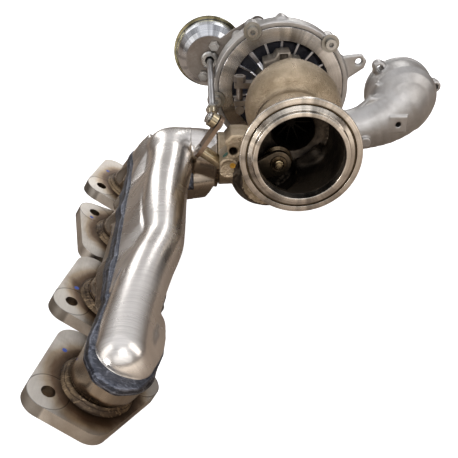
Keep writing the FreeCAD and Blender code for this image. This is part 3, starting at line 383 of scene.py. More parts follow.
CAN_CENTRE = (-0.069, 0.016)
FLAP_CENTRE = (-0.0135, -0.0235)
M = {
    "sheet": tinted_sheet("pressed stainless", (0.84, 0.80, 0.76), (0.22, 0.16, 0.125), (0.62, 0.50, 0.43),
                          (0.45, 0.51, 0.74)),
    "lower_sheet": tinted_sheet("heated stainless", (0.34, 0.28, 0.22), (0.045, 0.03, 0.022),
                                (0.20, 0.145, 0.10), (0.22, 0.215, 0.24)),
    "seam": weld_metal("seam weld", (0.21, 0.222, 0.265), (0.06, 0.064, 0.08)),
    "bead": weld_metal("port weld", (0.25, 0.18, 0.11), (0.07, 0.05, 0.036), 520.0),
    "flange": flange_plate("machined flange plate", (0.68, 0.64, 0.585), (0.47, 0.43, 0.385)),
    "stub": satin_metal("stub tube", (0.30, 0.225, 0.155), (0.12, 0.085, 0.06), 0.34, marks=0.5),
    "turbine": cast_metal("cast turbine steel", (0.56, 0.45, 0.32), (0.31, 0.24, 0.158), 850.0, 0.0016,
                          (0.26, 0.42), dabs=PAINT_DABS),
    "turbine_inside": cast_metal("sooty casting", (0.13, 0.102, 0.075), (0.03, 0.024, 0.019), 520.0, 0.0007,
                                 (0.34, 0.5), 0.85, 0.25),
    "outlet_ring": turned_metal("turned outlet ring", (0.88, 0.83, 0.76), (0.68, 0.62, 0.545), 0.18,
                                anisotropy=0.85),
    "groove": satin_metal("heated groove", (0.20, 0.15, 0.085), (0.08, 0.058, 0.035), 0.26),
    "plate": turned_metal("turned plate", (0.86, 0.835, 0.81), (0.55, 0.53, 0.51), 0.2, anisotropy=0.92),
    "recess": cast_metal("dark recess", (0.16, 0.17, 0.21), (0.05, 0.052, 0.068), 800.0, 0.0003,
                         (0.35, 0.5), 0.9, 0.6),
    "rib": satin_metal("machined rib", (0.62, 0.61, 0.62), (0.40, 0.40, 0.42), 0.26),
    "barrel": cast_metal("cast barrel", (0.42, 0.38, 0.32), (0.2, 0.17, 0.14), 700.0, 0.0004),
    "aluminium": cast_metal("fine cast aluminium", (0.57, 0.552, 0.535), (0.44, 0.422, 0.405), 1500.0, 0.0002,
                            (0.34, 0.44), 0.85, 0.45),
    "bolt": satin_metal("phosphated bolt", (0.60, 0.585, 0.545), (0.38, 0.365, 0.33), 0.28, marks=0.3),
    "steel": satin_metal("plated steel", (0.70, 0.69, 0.67), (0.50, 0.49, 0.47), 0.24),
    "rod": satin_metal("drawn rod", (0.56, 0.56, 0.57), (0.36, 0.36, 0.37), 0.26, stretch=(1.0, 0.05, 1.0)),
    "can": turned_metal("bright plated can", (0.80, 0.81, 0.83), (0.66, 0.68, 0.72), 0.2,
                        CAN_CENTRE, 0.5),
    "can_rear": turned_metal("yellow passivated can", (0.62, 0.58, 0.36), (0.42, 0.385, 0.22), 0.24,
                             CAN_CENTRE, 0.4),
    "bracket": satin_metal("bracket steel", (0.40, 0.36, 0.325), (0.25, 0.215, 0.19), 0.34, scale=500.0),
    "lever": satin_metal("heated lever", (0.38, 0.28, 0.21), (0.19, 0.13, 0.09), 0.32, marks=0.5),
    "bushing": satin_metal("bushing", (0.78, 0.70, 0.52), (0.50, 0.42, 0.28), 0.2, marks=0.3),
    "flap": turned_metal("flap", (0.24, 0.18, 0.115), (0.10, 0.075, 0.05), 0.3, FLAP_CENTRE),
    "flap_arm": cast_metal("wastegate arm", (0.20, 0.155, 0.105), (0.075, 0.058, 0.042), 700.0, 0.0003,
                           (0.3, 0.45), 0.95, 0.4),
    "rivet": satin_metal("rivet head", (0.72, 0.58, 0.36), (0.42, 0.32, 0.19), 0.22),
    "bronze": turned_metal("bearing bronze", (0.62, 0.42, 0.22), (0.45, 0.29, 0.14), 0.3),
    "rubber": plain_finish("rubber", (0.03, 0.03, 0.032)),
    "wheel": plain_finish("sooty wheel", (0.02, 0.017, 0.014), 1.0),
    "milled": satin_metal("milled wheel", (0.80, 0.80, 0.79), (0.62, 0.62, 0.61), 0.2),
}

NODE_LOOK = {
    "seam_weld": "seam", "inlet_weld": "bead", "port_welds": "bead", "collector": "sheet",
    "upper_shell": "sheet", "lower_shell": "lower_sheet", "turbine_housing": "turbine",
    "bearing_housing": "barrel", "compressor_housing": "aluminium", "heat_shield": "lever",
    "v_clamp_band": "bracket", "clamp_t_bolt": "bracket", "clamp_nut": "bracket", "seal_plate": "aluminium",
    "compressor_bolts": "steel", "bolt_washers": "bolt", "actuator_bracket": "bracket",
    "actuator_front_shell": "can", "actuator_rear_shell": "can_rear", "vacuum_nipple": "bushing",
    "wastegate_bushing": "bushing", "wastegate_flap": "flap", "wastegate_arm": "lever",
    "wastegate_lever": "lever", "flap_washer": "flap", "flap_rivet": "rivet", "actuator_rod": "rod",
    "journal_bearing": "bronze", "thrust_bearing": "bronze", "o_ring": "rubber", "diaphragm": "rubber",
    "turbine_wheel": "wheel", "compressor_wheel": "milled", "bracket_bolts": "bolt", "rod_end": "bushing",
}
for node_name, node_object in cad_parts.items():
    look = NODE_LOOK.get(node_name, "steel")
    if node_name.startswith("port_flange"):
        look = "flange"
    if node_name.startswith("port_stub"):
        look = "stub"
    node_object.data.materials.clear()
    node_object.data.materials.append(M[look])


# ---- mesh helpers


def add_mesh(name, verts, faces, look, body, placement, sharp_deg=None, heat=None, zones=None):
    """Make a piece from millimetre points, riding on a body; zones gives each face's material."""
    mesh = bpy.data.meshes.new(name)
    mesh.from_pydata([tuple(v) for v in verts], [], [tuple(int(i) for i in f) for f in faces])
    mesh.transform(Matrix.Scale(MM, 4) @ placement)
    mesh.validate()
    mesh.update()
    mesh.polygons.foreach_set("use_smooth", [True] * len(mesh.polygons))
    if sharp_deg is not None:
        mesh.set_sharp_from_angle(angle=math.radians(sharp_deg))
    if heat is not None:
        layer = mesh.attributes.new("heat", "FLOAT", "POINT")
        layer.data.foreach_set("value", np.asarray(heat, dtype=np.float32))
    piece = bpy.data.objects.new(name, mesh)
    bpy.context.scene.collection.objects.link(piece)
    for each in [look] if isinstance(look, str) else look:
        mesh.materials.append(M[each])
    if zones is not None:
        centres = np.zeros(len(mesh.polygons) * 3, dtype=np.float32)
        mesh.polygons.foreach_get("center", centres)
        mesh.polygons.foreach_set("material_index", zones(centres.reshape(-1, 3) / MM).astype(np.int32))
    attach(piece, body)
    return piece


def bevelled(mesh, edges, width):
    """Round a bmesh's edges, free it and return its points and faces."""
    bmesh.ops.bevel(mesh, geom=edges, offset=width, segments=2, profile=0.5, affect="EDGES")
    mesh.verts.index_update()
    verts = [tuple(v.co) for v in mesh.verts]
    polygons = [[v.index for v in f.verts] for f in mesh.faces]
    mesh.free()
    return verts, polygons


def stands_for(piece, slot, *nodes):
    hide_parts(*nodes)


def rounded_profile(points, fillets):
    """Round the corners of a closed (r, y) outline; fillets is one radius, or one for each corner."""
    made = []
    steps = 5
    count = len(points)
    for i, corner in enumerate(points):
        radius = fillets[i] if isinstance(fillets, list) else fillets
        here = np.array(corner, float)
        back = np.array(points[i - 1], float) - here
        ahead = np.array(points[(i + 1) % count], float) - here
        lb, la = np.linalg.norm(back), np.linalg.norm(ahead)
        back, ahead = back / lb, ahead / la
        angle = math.acos(max(-1.0, min(1.0, float(back @ ahead))))
        if radius < 1e-6 or angle > math.pi - 0.02:
            made.append(tuple(here))
            continue
        reach = min(radius / math.tan(angle / 2), 0.48 * lb, 0.48 * la)
        start, end = here + back * reach, here + ahead * reach
        for k in range(steps + 1):
            t = k / steps
            made.append(tuple((1 - t) ** 2 * start + 2 * t * (1 - t) * here + t ** 2 * end))
    return made


def lathe(name, points, look, fillets=0.4, segments=128, body="housing", placement=IDENTITY, axis="Y"):
    """Spin a closed (radius, along) outline about Y or X."""
    profile = rounded_profile(points, fillets)
    verts, faces = [], []
    count = len(profile)
    for i in range(segments):
        turn = 2 * math.pi * i / segments
        c, s = math.cos(turn), math.sin(turn)
        verts += [(r * c, along, -r * s) if axis == "Y" else (along, r * c, r * s) for r, along in profile]
        here, ahead = i * count, (i + 1) % segments * count
        for k in range(count):
            m = (k + 1) % count
            faces.append((here + k, ahead + k, ahead + m, here + m))
    piece = add_mesh(name, verts, faces, look, body, placement, 32.0)
    mesh = bmesh.new()
    mesh.from_mesh(piece.data)
    bmesh.ops.remove_doubles(mesh, verts=mesh.verts, dist=1e-7)
    bmesh.ops.recalc_face_normals(mesh, faces=mesh.faces)
    mesh.to_mesh(piece.data)
    mesh.free()
    return piece


def extrude_outline(name, outline, low, high, look, bevel, hole, body, placement):
    """Push a closed (x, y) outline from z = low to z = high, with a round hole (x, y, r) and soft edges."""
    mesh = bmesh.new()
    x, y, r = hole
    turns = [2 * math.pi * k / 40 for k in range(40)]
    edges = []
    for loop in (outline, [(x + r * math.cos(a), y + r * math.sin(a)) for a in turns]):
        ring = [mesh.verts.new((*spot, low)) for spot in loop]
        edges += [mesh.edges.new((ring[k], ring[(k + 1) % len(ring)])) for k in range(len(ring))]
    made = bmesh.ops.triangle_fill(mesh, use_beauty=True, use_dissolve=False, edges=edges)
    faces = [g for g in made["geom"] if isinstance(g, bmesh.types.BMFace)]
    top = bmesh.ops.extrude_face_region(mesh, geom=faces)
    moved = [g for g in top["geom"] if isinstance(g, bmesh.types.BMVert)]
    bmesh.ops.translate(mesh, verts=moved, vec=(0, 0, high - low))
    bmesh.ops.recalc_face_normals(mesh, faces=mesh.faces)
    mesh.normal_update()
    rims = [e for e in mesh.edges if len(e.link_faces) == 2
            and abs(e.link_faces[0].normal.z - e.link_faces[1].normal.z) > 0.6]
    return add_mesh(name, *bevelled(mesh, rims, bevel), look, body, placement, 35.0)


def disc_band(discs):
    """Outline of the tight band round discs (x, y, r), counter-clockwise."""
    turns = [2 * math.pi * k / 56 for k in range(56)]
    points = sorted({(x + r * math.cos(a), y + r * math.sin(a)) for x, y, r in discs for a in turns})

    def half(run):
        hull = []
        for p in run:
            while len(hull) > 1 and ((hull[-1][0] - hull[-2][0]) * (p[1] - hull[-2][1])
                                     - (hull[-1][1] - hull[-2][1]) * (p[0] - hull[-2][0])) <= 1e-9:
                hull.pop()
            hull.append(p)
        return hull[:-1]

    return half(points) + half(points[::-1])


# ---- blended solids


def grid(low, high, step):
    axes = [np.arange(low[i], high[i] + step, step, dtype=np.float32) for i in range(3)]
    return np.meshgrid(*axes, indexing="ij")


def union(fields):
    return functools.reduce(np.minimum, fields)


def smin(a, b, k):
    h = np.clip(0.5 + 0.5 * (b - a) / k, 0.0, 1.0)
    return b * (1 - h) + a * h - k * h * (1 - h)


def smax(a, b, k):
    return -smin(-a, -b, k)


def hollowed(body, hollows, soft):
    for hollow in hollows:
        body = smax(body, -hollow, soft)
    return body


def capsule(p, a, b, ra, rb):
    """A tube between two points whose radius changes evenly."""
    ax, ay, az = a
    d = np.array(b, float) - np.array(a, float)
    length = float(d @ d)
    t = ((p[0] - ax) * d[0] + (p[1] - ay) * d[1] + (p[2] - az) * d[2]) / length
    t = np.clip(t, 0.0, 1.0)
    gap = (p[0] - ax - t * d[0]) ** 2 + (p[1] - ay - t * d[1]) ** 2 + (p[2] - az - t * d[2]) ** 2
    return np.sqrt(gap) - (ra + (rb - ra) * t)


def smooth_path(points, cuts):
    """Catmull-Rom points through (x, y, z, r) rows."""
    rows = np.array([points[0], *points, points[-1]], float)
    made = []
    for i in range(1, len(rows) - 2):
        a, b, c, d = rows[i - 1:i + 3]
        for k in range(cuts):
            t = k / cuts
            made.append(0.5 * (2 * b + (c - a) * t + (2 * a - 5 * b + 4 * c - d) * t ** 2
                               + (3 * b - a - 3 * c + d) * t ** 3))
    made.append(rows[-2])
    return made


def chain(p, points, cuts):
    """A bent tube through (x, y, z, r) points."""
    path = smooth_path(points, cuts)
    return union(capsule(p, a[:3], b[:3], a[3], b[3]) for a, b in zip(path, path[1:]))


def flat_cylinder(p, a, b, r, soft=1.0):
    """A cylinder with flat ends and slightly rounded rims."""
    a, b = np.array(a, float), np.array(b, float)
    length = np.linalg.norm(b - a)
    way = (b - a) / length
    along = (p[0] - a[0]) * way[0] + (p[1] - a[1]) * way[1] + (p[2] - a[2]) * way[2]
    across = np.sqrt(np.maximum((p[0] - a[0]) ** 2 + (p[1] - a[1]) ** 2 + (p[2] - a[2]) ** 2 - along ** 2, 0))
    ends = np.abs(along - length / 2) - length / 2
    return smax(across - r, ends, soft)


def post(p, spot, start, end, r, soft=1.0):
    """A flat-ended cylinder along Y at a spot (x, z)."""
    return flat_cylinder(p, (spot[0], start, spot[1]), (spot[0], end, spot[1]), r, soft)


def polygon_field(u, v, corners):
    """Signed distance to a closed outline in a plane."""
    best = None
    sign = np.ones_like(u)
    count = len(corners)
    for i in range(count):
        a, b = corners[i], corners[i - 1]
        ex, ey = b[0] - a[0], b[1] - a[1]
        wx, wy = u - a[0], v - a[1]
        t = np.clip((wx * ex + wy * ey) / (ex * ex + ey * ey), 0, 1)
        d = (wx - ex * t) ** 2 + (wy - ey * t) ** 2
        best = d if best is None else np.minimum(best, d)
        c1, c2, c3 = v >= a[1], v < b[1], ex * wy > ey * wx
        flip = (c1 & c2 & c3) | (~c1 & ~c2 & ~c3)
        sign = np.where(flip, -sign, sign)
    return sign * np.sqrt(best)


def spun_field(p, profile, centre=(0.0, 0.0)):
    """A closed (radius, y) outline spun about a line along Y at a centre (x, z)."""
    radius = np.sqrt((p[0] - centre[0]) ** 2 + (p[2] - centre[1]) ** 2)
    return polygon_field(radius, p[1], profile)


def prism_field(p, corners, low, high, soft):
    """An (x, z) outline pushed along Y."""
    side = polygon_field(p[0], p[2], corners)
    ends = np.abs(p[1] - (low + high) / 2) - (high - low) / 2
    return smax(side, ends, soft)


def scroll_field(p, rows, middle):
    """A volute: rows are (angle from straight down, reach, radius), and middle gives y for a radius."""
    angle = np.degrees(np.arctan2(p[0], -p[2])) % 360
    angles, reaches, radii = np.array(rows, float).T
    radius = np.interp(angle, angles, radii)
    rho = np.sqrt(p[0] ** 2 + p[2] ** 2)
    return np.sqrt((rho - np.interp(angle, angles, reaches)) ** 2 + (p[1] - middle(radius)) ** 2) - radius


def surface_nets(field, low, step):
    """Quads of the zero surface of a field that is negative inside."""
    inside = field < 0
    size = np.array(field.shape) - 1
    count = np.zeros(size, np.int8)
    for i, j, k in np.ndindex(2, 2, 2):
        count += inside[i:size[0] + i, j:size[1] + j, k:size[2] + k]
    active = (count > 0) & (count < 8)
    index = -np.ones(active.shape, np.int32)
    cells = np.argwhere(active)
    index[active] = np.arange(len(cells))
    # Each cell's point is the mean of the places where the field changes sign along its edges.
    total = np.zeros((len(cells), 3))
    number = np.zeros(len(cells))
    for axis in range(3):
        others = [a for a in range(3) if a != axis]
        for corner in np.ndindex(2, 2):
            start = np.zeros(3, int)
            start[others] = corner
            end = start.copy()
            end[axis] = 1
            f0 = field[tuple((cells + start).T)]
            f1 = field[tuple((cells + end).T)]
            crossed = (f0 < 0) != (f1 < 0)
            spot = np.tile(start.astype(float), (len(cells), 1))
            spot[:, axis] += np.where(crossed, f0 / (f0 - f1 + 1e-20), 0)
            total += spot * crossed[:, None]
            number += crossed
    verts = (cells + total / number[:, None]) * step + np.array(low, float)
    # Each grid edge that crosses the surface makes a quad of the four cells round it.
    quads = []
    for axis in range(3):
        b, d = [a for a in range(3) if a != axis]
        before = np.take(inside, range(size[axis]), axis=axis)
        after = np.take(inside, range(1, field.shape[axis]), axis=axis)
        edge = np.argwhere(before != after)
        edge = edge[(edge[:, b] > 0) & (edge[:, d] > 0) & (edge[:, b] < size[b]) & (edge[:, d] < size[d])]
        flip = before[tuple(edge.T)]
        if axis == 1:
            flip = ~flip

        def cell(back_b, back_d):
            spot = edge.copy()
            spot[:, b] -= back_b
            spot[:, d] -= back_d
            return index[tuple(spot.T)]

        quad = np.stack([cell(1, 1), cell(0, 1), cell(0, 0), cell(1, 0)], 1)
        quad[~flip] = quad[~flip][:, ::-1]
        quads.append(quad)
    return verts, np.concatenate(quads)


def blended_piece(name, field, low, step, look, placement=IDENTITY, heat=None, sharp_deg=None, zones=None):
    verts, quads = surface_nets(field, low, step)
    values = heat(verts) if heat is not None else None
    return add_mesh(name, verts, quads, look, "housing", placement, sharp_deg, values, zones)


# ---- manifold

SEAM = 23.5
SHELL_WALL = 2.2
# X of the upper shell's cut edge at the collector, and the Z below which the collector is dark.
COLLECTOR_CUT = -87.5
HEATED_BELOW = -46.5
# The log's tube as (across, along, up, radius), and the elbow that takes it down to the turbine.
MAIN_TUBE = [
    (33.0, -167, 25.3, 18.7), (33.0, -140, 30.6, 17.8), (35.4, -110, 36.0, 17.6), (39.4, -83, 39.8, 17.2),
    (42.6, -67, 41.7, 16.9), (45.0, -52, 43.4, 16.7), (44.8, -38, 44.4, 17.2), (43.6, -20, 45.4, 18.2),
    (42.5, 5, 47.0, 18.7), (42.4, 31, 48.4, 19.0), (43.8, 61, 49.4, 19.8), (44.0, 85, 50.2, 21.0),
    (43.5, 103, 50.6, 21.8)]
ELBOW = [(45, 98, 50.0, 22.5), (57, 104, 55.5, 24.2), (70, 104, 62.0, 24.4), (88, 100, 69.5, 24.4)]
# How far across the top of the side wall stands, along the head: it steps back just past two ports.
WALL_TOP = [
    (-190, 15.0), (-135, 15.5), (-100, 19.0), (-76, 24.0), (-56, 29.5), (-49, 29.0), (-36, 26.0), (-12, 24.0),
    (11, 23.0), (42, 23.5), (58, 25.0), (69, 29.5), (74, 29.0), (90, 22.5), (122, 18.0)]
# The lower shell's outline on the flange plane, before its edge is rounded.
TRAY_CORE = [(24, 108), (24, -120), (19.5, -158), (20, -176), (25, -186), (32, -188), (39, -183), (45, -168),
             (48, -150), (46, -126), (49, -104), (52, -84), (53, 108), (46, 116), (32, 116)]


def row_x(p):
    """X in the row frame of a point on the flange plane."""
    return FLANGE[0][3] + C30 * p[0] + S30 * p[2]


def row_z(p):
    return FLANGE[2][3] - S30 * p[0] + C30 * p[2]


def manifold_fields(p):
    """The solid shapes of the upper and of the lower shell."""
    u, y, w = p
    tube = smin(chain(p, MAIN_TUBE, 4), chain(p, ELBOW, 4), 7.0)
    lean = np.interp(y, [-70, 60], [0.55, 1.1])
    reach = np.interp(y + lean * (50 - w), *zip(*WALL_TOP))
    rise = np.interp(y, [-180, -105, -60, 5, 70, 106], [38.0, 43.0, 47.0, 47.0, 50.0, 54.0])
    left = np.interp(y, [-176, -60, 90, 106, 118], [15.0, 16.5, 16.5, 13.5, 13.5])
    # A flat side wall climbs from the seam to the tube's left flank.
    run, climb = reach - left, rise - SEAM - 1
    side = ((w - SEAM - 1) * run - (u - left) * climb) / np.hypot(run, climb)
    right = np.interp(y, [-140, -110, -83, -52, 31, 61, 103], [43, 48, 52, 57, 57, 59, 61])
    web = smax(side, u - right, 4.0)
    web = smax(web, w - rise, 2.0)
    web = smax(web, np.abs(y) - 119, 9.0)
    web = smax(web, 12.0 - w, 2.0)
    body = smin(tube, web, 1.2)
    lobe = chain(p, [(44.5, -134, 27.5, 14.2), (43.8, -150, 26.5, 15.4), (38.5, -169, 24, 15.6)], 3)
    body = smin(body, lobe, 1.5)
    core = polygon_field(u, y, TRAY_CORE) - 8.0
    tray = smax(core, np.maximum(9.0 - w, w - SEAM - 2.0), 4.0)
    ports = union(capsule(p, (29.0, along, 3.0), (36.0, along, 24.0), 20.6, 19.5) for along in PORTS)
    ports = smax(ports, np.maximum(4.0 - w, w - SEAM), 1.0)
    low = smin(tray, ports, 5.0)
    # A second, lower duct runs under the elbow to the turbine.
    under = chain((row_x(p), y, row_z(p)), [(-118, 88, -62, 14), (-98, 93, -63, 17.5), (-62, 97, -60, 18)], 3)
    return body, smin(low, under, 6.0)


def heat_upper(v):
    """Heat colours above the seam and down the side wall."""
    near_seam = np.clip(1 - (v[:, 2] - SEAM) / 9.0, 0, 1)
    flank = np.clip((33 - v[:, 0]) / 14.0, 0, 1) * np.clip((v[:, 1] + 110) / 25, 0, 1)
    flank_heat = np.interp(flank, [0, 0.25, 0.5, 0.65, 1], [0.1, 0.46, 0.52, 0.6, 0.63])
    return np.maximum(0.62 * near_seam, flank_heat)


def lower_heat_and_shade(v):
    """Heat colours round the ports, and painted shade darkening the near end."""
    ports = np.min([np.abs(v[:, 1] - a) for a in PORTS], axis=0)
    painted_end_shade = np.clip((-135 - v[:, 1]) / 25, 0, 1)
    # Painted shade: the near end is pushed to the dark end of the heat colours.
    return np.clip(np.maximum(0.6 + 0.35 * (1 - ports / 34) * (v[:, 2] < 18), 0.95 * painted_end_shade), 0, 1)


def heat_elbow(v):
    """Heat colours on the collector's lower half and along its joint."""
    below = np.clip((-46 - row_z(v.T)) / 4, 0, 1)
    joint_band = np.clip(1 - np.abs(row_x(v.T) + 87) / 2.5, 0, 1)
    return np.maximum(0.84 * below, 0.62 * joint_band)


def build_manifold():
    step = 1.0
    low, high = (2.0, -206.0, 0.0), (90.0, 136.0, 98.0)
    p = grid(low, high, step)
    outer = smin(*manifold_fields(p), 1.5)
    u, y, w = p
    wall = np.maximum(outer, -(outer + SHELL_WALL))
    bores = union(capsule(p, (28.5, along, -6.0), (35.0, along, 20.0), 18.0, 17.0) for along in PORTS)
    wall = np.maximum(wall, -np.maximum(bores, w - 12.0))
    # The joint between the two shells follows the log, then swings level round the elbow.
    x, z = row_x(p), row_z(p)
    swing = np.clip((x + 114) / 24, 0, 1) * np.clip((y - 62) / 22, 0, 1)
    joint = (w - SEAM - np.interp(y, [70, 118], [0.0, 3.0])) * (1 - swing) + (z + 49) * swing
    mouth = np.where(y > 72, x - COLLECTOR_CUT, -3.0)
    half = np.interp(y, [-200, -150, -60, 60, 110], [3.0, 4.0, 4.8, 4.8, 3.6])
    proud = np.interp(y, [-200, -150, -60, 60], [1.3, 1.1, 0.9, 0.8])
    strip = smax(np.abs(outer - proud / 2 + 0.5) - proud / 2 - 0.5, np.abs(joint) - half, 0.9)
    elbow = smax(np.maximum(np.maximum(outer + 0.3, -(outer + SHELL_WALL)), -x - 92.0), x + 64.2, 0.5)
    for name, field, look, node, heat, sharp_deg, zones in (
            ("manifold_upper", smax(np.maximum(wall, -joint), mouth, 0.5), "sheet", "upper_shell",
             heat_upper, 60, None),
            ("manifold_lower", smax(np.maximum(wall, joint), mouth, 0.5), "lower_sheet", "lower_shell",
             lower_heat_and_shade, 60, None),
            ("manifold_seam", smax(strip, mouth - 1.0, 0.5), "seam", "seam_weld", None, None, None),
            ("collector_elbow", np.maximum(elbow, 68.0 - y), ("sheet", "lower_sheet"), "collector",
             heat_elbow, 60, lambda c: row_z(c.T) < HEATED_BELOW)):
        piece = blended_piece(name, field, low, step, look, FLANGE, heat, sharp_deg, zones)
        stands_for(piece, node, node)


build_manifold()

# ---- turbine housing

# Places as (x, z): the middle of the wastegate's pocket, the lug beside the outlet and the flap's seat.
POCKET = (-25, -26)
LUG = (-56.7, -15.9)
SEAT = (-14, -24.5)
SCROLL_MIDDLE = 100.0
# The (y, z) of the inlet duct, which runs along X.
INLET = (100, -43)
OUTLET_BORE = 34.9
# Volute rows are (angle from straight down, reach, radius).
TURBINE_SCROLL = [
    (0, 43.0, 22.5), (30, 40.0, 20.5), (60, 36.0, 18.5), (90, 32.0, 15.8), (130, 33.5, 16.2),
    (180, 35.0, 16.2), (225, 32.0, 13.4), (270, 28.5, 10.0), (310, 26.5, 8.6), (359.9, 26.0, 7.0)]


def turbine_zones(c):
    """True on the faces of the sooty inside, which has a look of its own."""
    rho = np.hypot(c[:, 0], c[:, 2])
    edge = np.interp(c[:, 1], [8, 12, 46, 57, 112], [36.4, 35.8, 34.6, 32.0, 31.0])
    inside = (rho < edge) & (c[:, 1] < 112)
    to_pocket = np.hypot(c[:, 0] - POCKET[0], c[:, 2] - POCKET[1])
    pocketed = (to_pocket < 28.8) & (c[:, 1] > 14) & (c[:, 1] < 58.5)
    return (inside | pocketed) & (c[:, 1] > 8.2)


def build_turbine_housing():
    step = 1.0
    low, high = (-70.0, 5.0, -74.0), (56.0, 130.0, 56.0)
    p = grid(low, high, step)
    x, y, z = p
    neck = spun_field(p, [(0, 6), (42.5, 10), (38.4, 15), (37.0, 26), (36.0, 44), (34.6, 57), (32, 66),
                          (30, 84), (30, 119), (0, 119)])
    squeezed = (x, (y - 95.0) * 0.74 + SCROLL_MIDDLE, z)
    scroll = scroll_field(squeezed, TURBINE_SCROLL, lambda radius: SCROLL_MIDDLE)
    bulge = spun_field(p, [(0, 14), (22, 14), (30, 30), (32.5, 45), (32.5, 61), (0, 61)], POCKET)
    lobe = prism_field(p, [(-44, 12.5), (-54.7, 12.5), (-60, 7), (-57, -4.6), (-66.5, -12), (-68, -16),
                           (-44.3, -35), (-32, -44), (-20, -20), (-25, 8)], 20, 45, 2.0)
    flange = spun_field(p, [(0, 118), (30.4, 120.5), (31.2, 122.5), (33, 124.5), (33, 128), (0, 128)])
    body = smin(neck, scroll, 7.0)
    body = smin(body, capsule(p, (-66, *INLET), (0, *INLET), 24.4, 22.5), 9.0)
    body = smin(body, bulge, 8.0)
    body = smin(body, lobe, 3.0)
    body = smin(body, capsule(p, (-50, 44, -14), (-34, 92, -28), 7.0, 12.0), 5.0)
    body = np.minimum(body, post(p, LUG, 18.4, 30, 9.0, 1.2))
    body = smax(body, -post(p, LUG, 17.0, 19.2, 6.6, 0.6), 0.8)
    body = np.minimum(body, flange)
    bore = spun_field(p, [
        (0, -5), (OUTLET_BORE, -5), (OUTLET_BORE, 12), (34.2, 26), (33.2, 46), (30.5, 57), (0, 57)])
    pocket = spun_field(p, [(0, 16), (18, 16), (26, 30), (28.5, 45), (28.5, 57), (0, 57)], POCKET)
    throat = spun_field(p, [(0, 40), (26, 56.5), (18.6, 60), (18.4, 84), (24.4, 96), (24.4, 113), (29.2, 113),
                            (29.2, 131), (0, 131)])
    body = smax(body, -smin(bore, pocket, 4.0), 1.5)
    hump = capsule(p, (20, 57, -20), (8, 62, -30), 9.0, 9.0)
    body = smin(np.minimum(body, post(p, SEAT, 54.2, 66, 10.5, 0.8)), hump, 5.0)
    body = smax(body, -throat, 1.5)
    duct = capsule(p, (-75, *INLET), (-10, *INLET), 20.4, 18.5)
    tapped = post(p, (-53, -1.5), 12, 36, 3.2, 0.3)
    countersink = capsule(p, (-53, 18.6, -1.5), (-53, 20.6, -1.5), 4.4, 3.4)
    body = hollowed(body, (duct, post(p, SEAT, 50, 96, 7.5, 0.5), tapped, countersink), 0.6)
    body = np.maximum(body, -64.0 - x)
    body = np.maximum(body, 8.0 - y)
    looks = ("turbine", "turbine_inside")
    cast = blended_piece("turbine_casting", body, low, step, looks, zones=turbine_zones)
    stands_for(cast, "turbine_housing", "turbine_housing")
    ring = lathe("turbine_outlet_ring", [
        (OUTLET_BORE, 9.0), (OUTLET_BORE, 0.0), (38.5, 0.0), (39.3, 3.4), (42.6, 4.4), (43.0, 5.6),
        (44.0, 5.6), (44.2, 4.0), (49.0, 4.0), (49.0, 6.2), (43.6, 12.0), (39.4, 16.5), (36.0, 16.5),
        (35.6, 12.0)],
        "outlet_ring", [0.3, 0.7, 0.6, 0.6, 0.3, 0.2, 0.2, 0.4, 0.9, 0.6, 1.5, 0.4, 0.4, 0.4], 192)
    groove = lathe("outlet_groove", [(43.1, 5.75), (43.9, 5.75), (43.9, 5.15), (43.1, 5.15)], "groove", 0.1)


FLAP_MIDDLE, FLAP_REACH = 50.3, 27.1
FLAP = SPINDLE @ Matrix.Translation(Vector((FLAP_MIDDLE, 0, FLAP_REACH)))


def build_flap():
    upright = SPINDLE @ Matrix(((1, 0, 0, 0), (0, 0, -1, 0), (0, 1, 0, 0), (0, 0, 0, 1)))
    outline = disc_band([(34, 0, 6.5), (42, 14, 7.5), (FLAP_MIDDLE, FLAP_REACH, 11.0)])
    arm = extrude_outline("flap_arm", outline, -8.4, -3.0, "flap_arm", 1.2, (33.5, 0, 0.8), "wastegate",
                          upright)
    hub = lathe("arm_hub", [(3.55, 30.0), (6.5, 30.0), (6.5, 37.0), (3.55, 37.0)], "flap_arm", 0.8, 48,
                "wastegate", SPINDLE, "X")
    stands_for(arm, "wastegate_arm", "wastegate_arm")
    washer = lathe("flap_ring", [(3.25, 1.9), (6.9, 1.9), (7.6, 2.96), (3.25, 2.96)], "flap", 0.4, 64,
                   "wastegate", FLAP)
    stands_for(washer, "flap_washer", "flap_washer")
    rivet = lathe("rivet_head", [
        (0.0, -1.3), (2.2, -1.25), (3.9, -0.4), (4.8, 0.8), (4.8, 1.86), (0.0, 1.86)],
        "rivet", [0, 0.6, 0.8, 0.5, 0.2, 0], 64, "wastegate", FLAP)
    stands_for(rivet, "flap_rivet", "flap_rivet")


build_turbine_housing()
build_flap()

# ---- bearing housing and plate

PLATE_FRONT, PLATE_BACK = 166.0, 182.0
RIB_FOOT = 177.2


def plate_ribs():
    """Tapered ribs from the barrel out to the plate, every sixth one wide and every fifth one taller."""
    mesh = bmesh.new()
    count = 18
    for i in range(count):
        turn = 2 * math.pi * (i + 0.5) / count
        out = Vector((math.cos(turn), 0, math.sin(turn)))
        side = Vector((-math.sin(turn), 0, math.cos(turn)))
        wide = 1.2 if i % 6 else 2.4
        made = []
        for reach, top in ((24.0, 163.0 if i % 5 else 158.0), (34.0, 169.0), (47.8, 168.4)):
            for sign, width, up in ((-1, 0.3, top), (1, 0.3, top), (1, 0.55, RIB_FOOT), (-1, 0.55, RIB_FOOT)):
                across = side * (sign * wide * (width + 0.013 * reach))
                made.append(mesh.verts.new(out * reach + across + Vector((0, up, 0))))
        for start in (0, 4):
            for m in range(4):
                n = (m + 1) % 4
                mesh.faces.new([made[start + k] for k in (m, n, 4 + n, 4 + m)])
        mesh.faces.new(made[3::-1])
        mesh.faces.new(made[8:])
    bmesh.ops.recalc_face_normals(mesh, faces=mesh.faces)
    piece = add_mesh("plate_ribs", *bevelled(mesh, list(mesh.edges), 0.28), "rib", "housing", IDENTITY, 35)


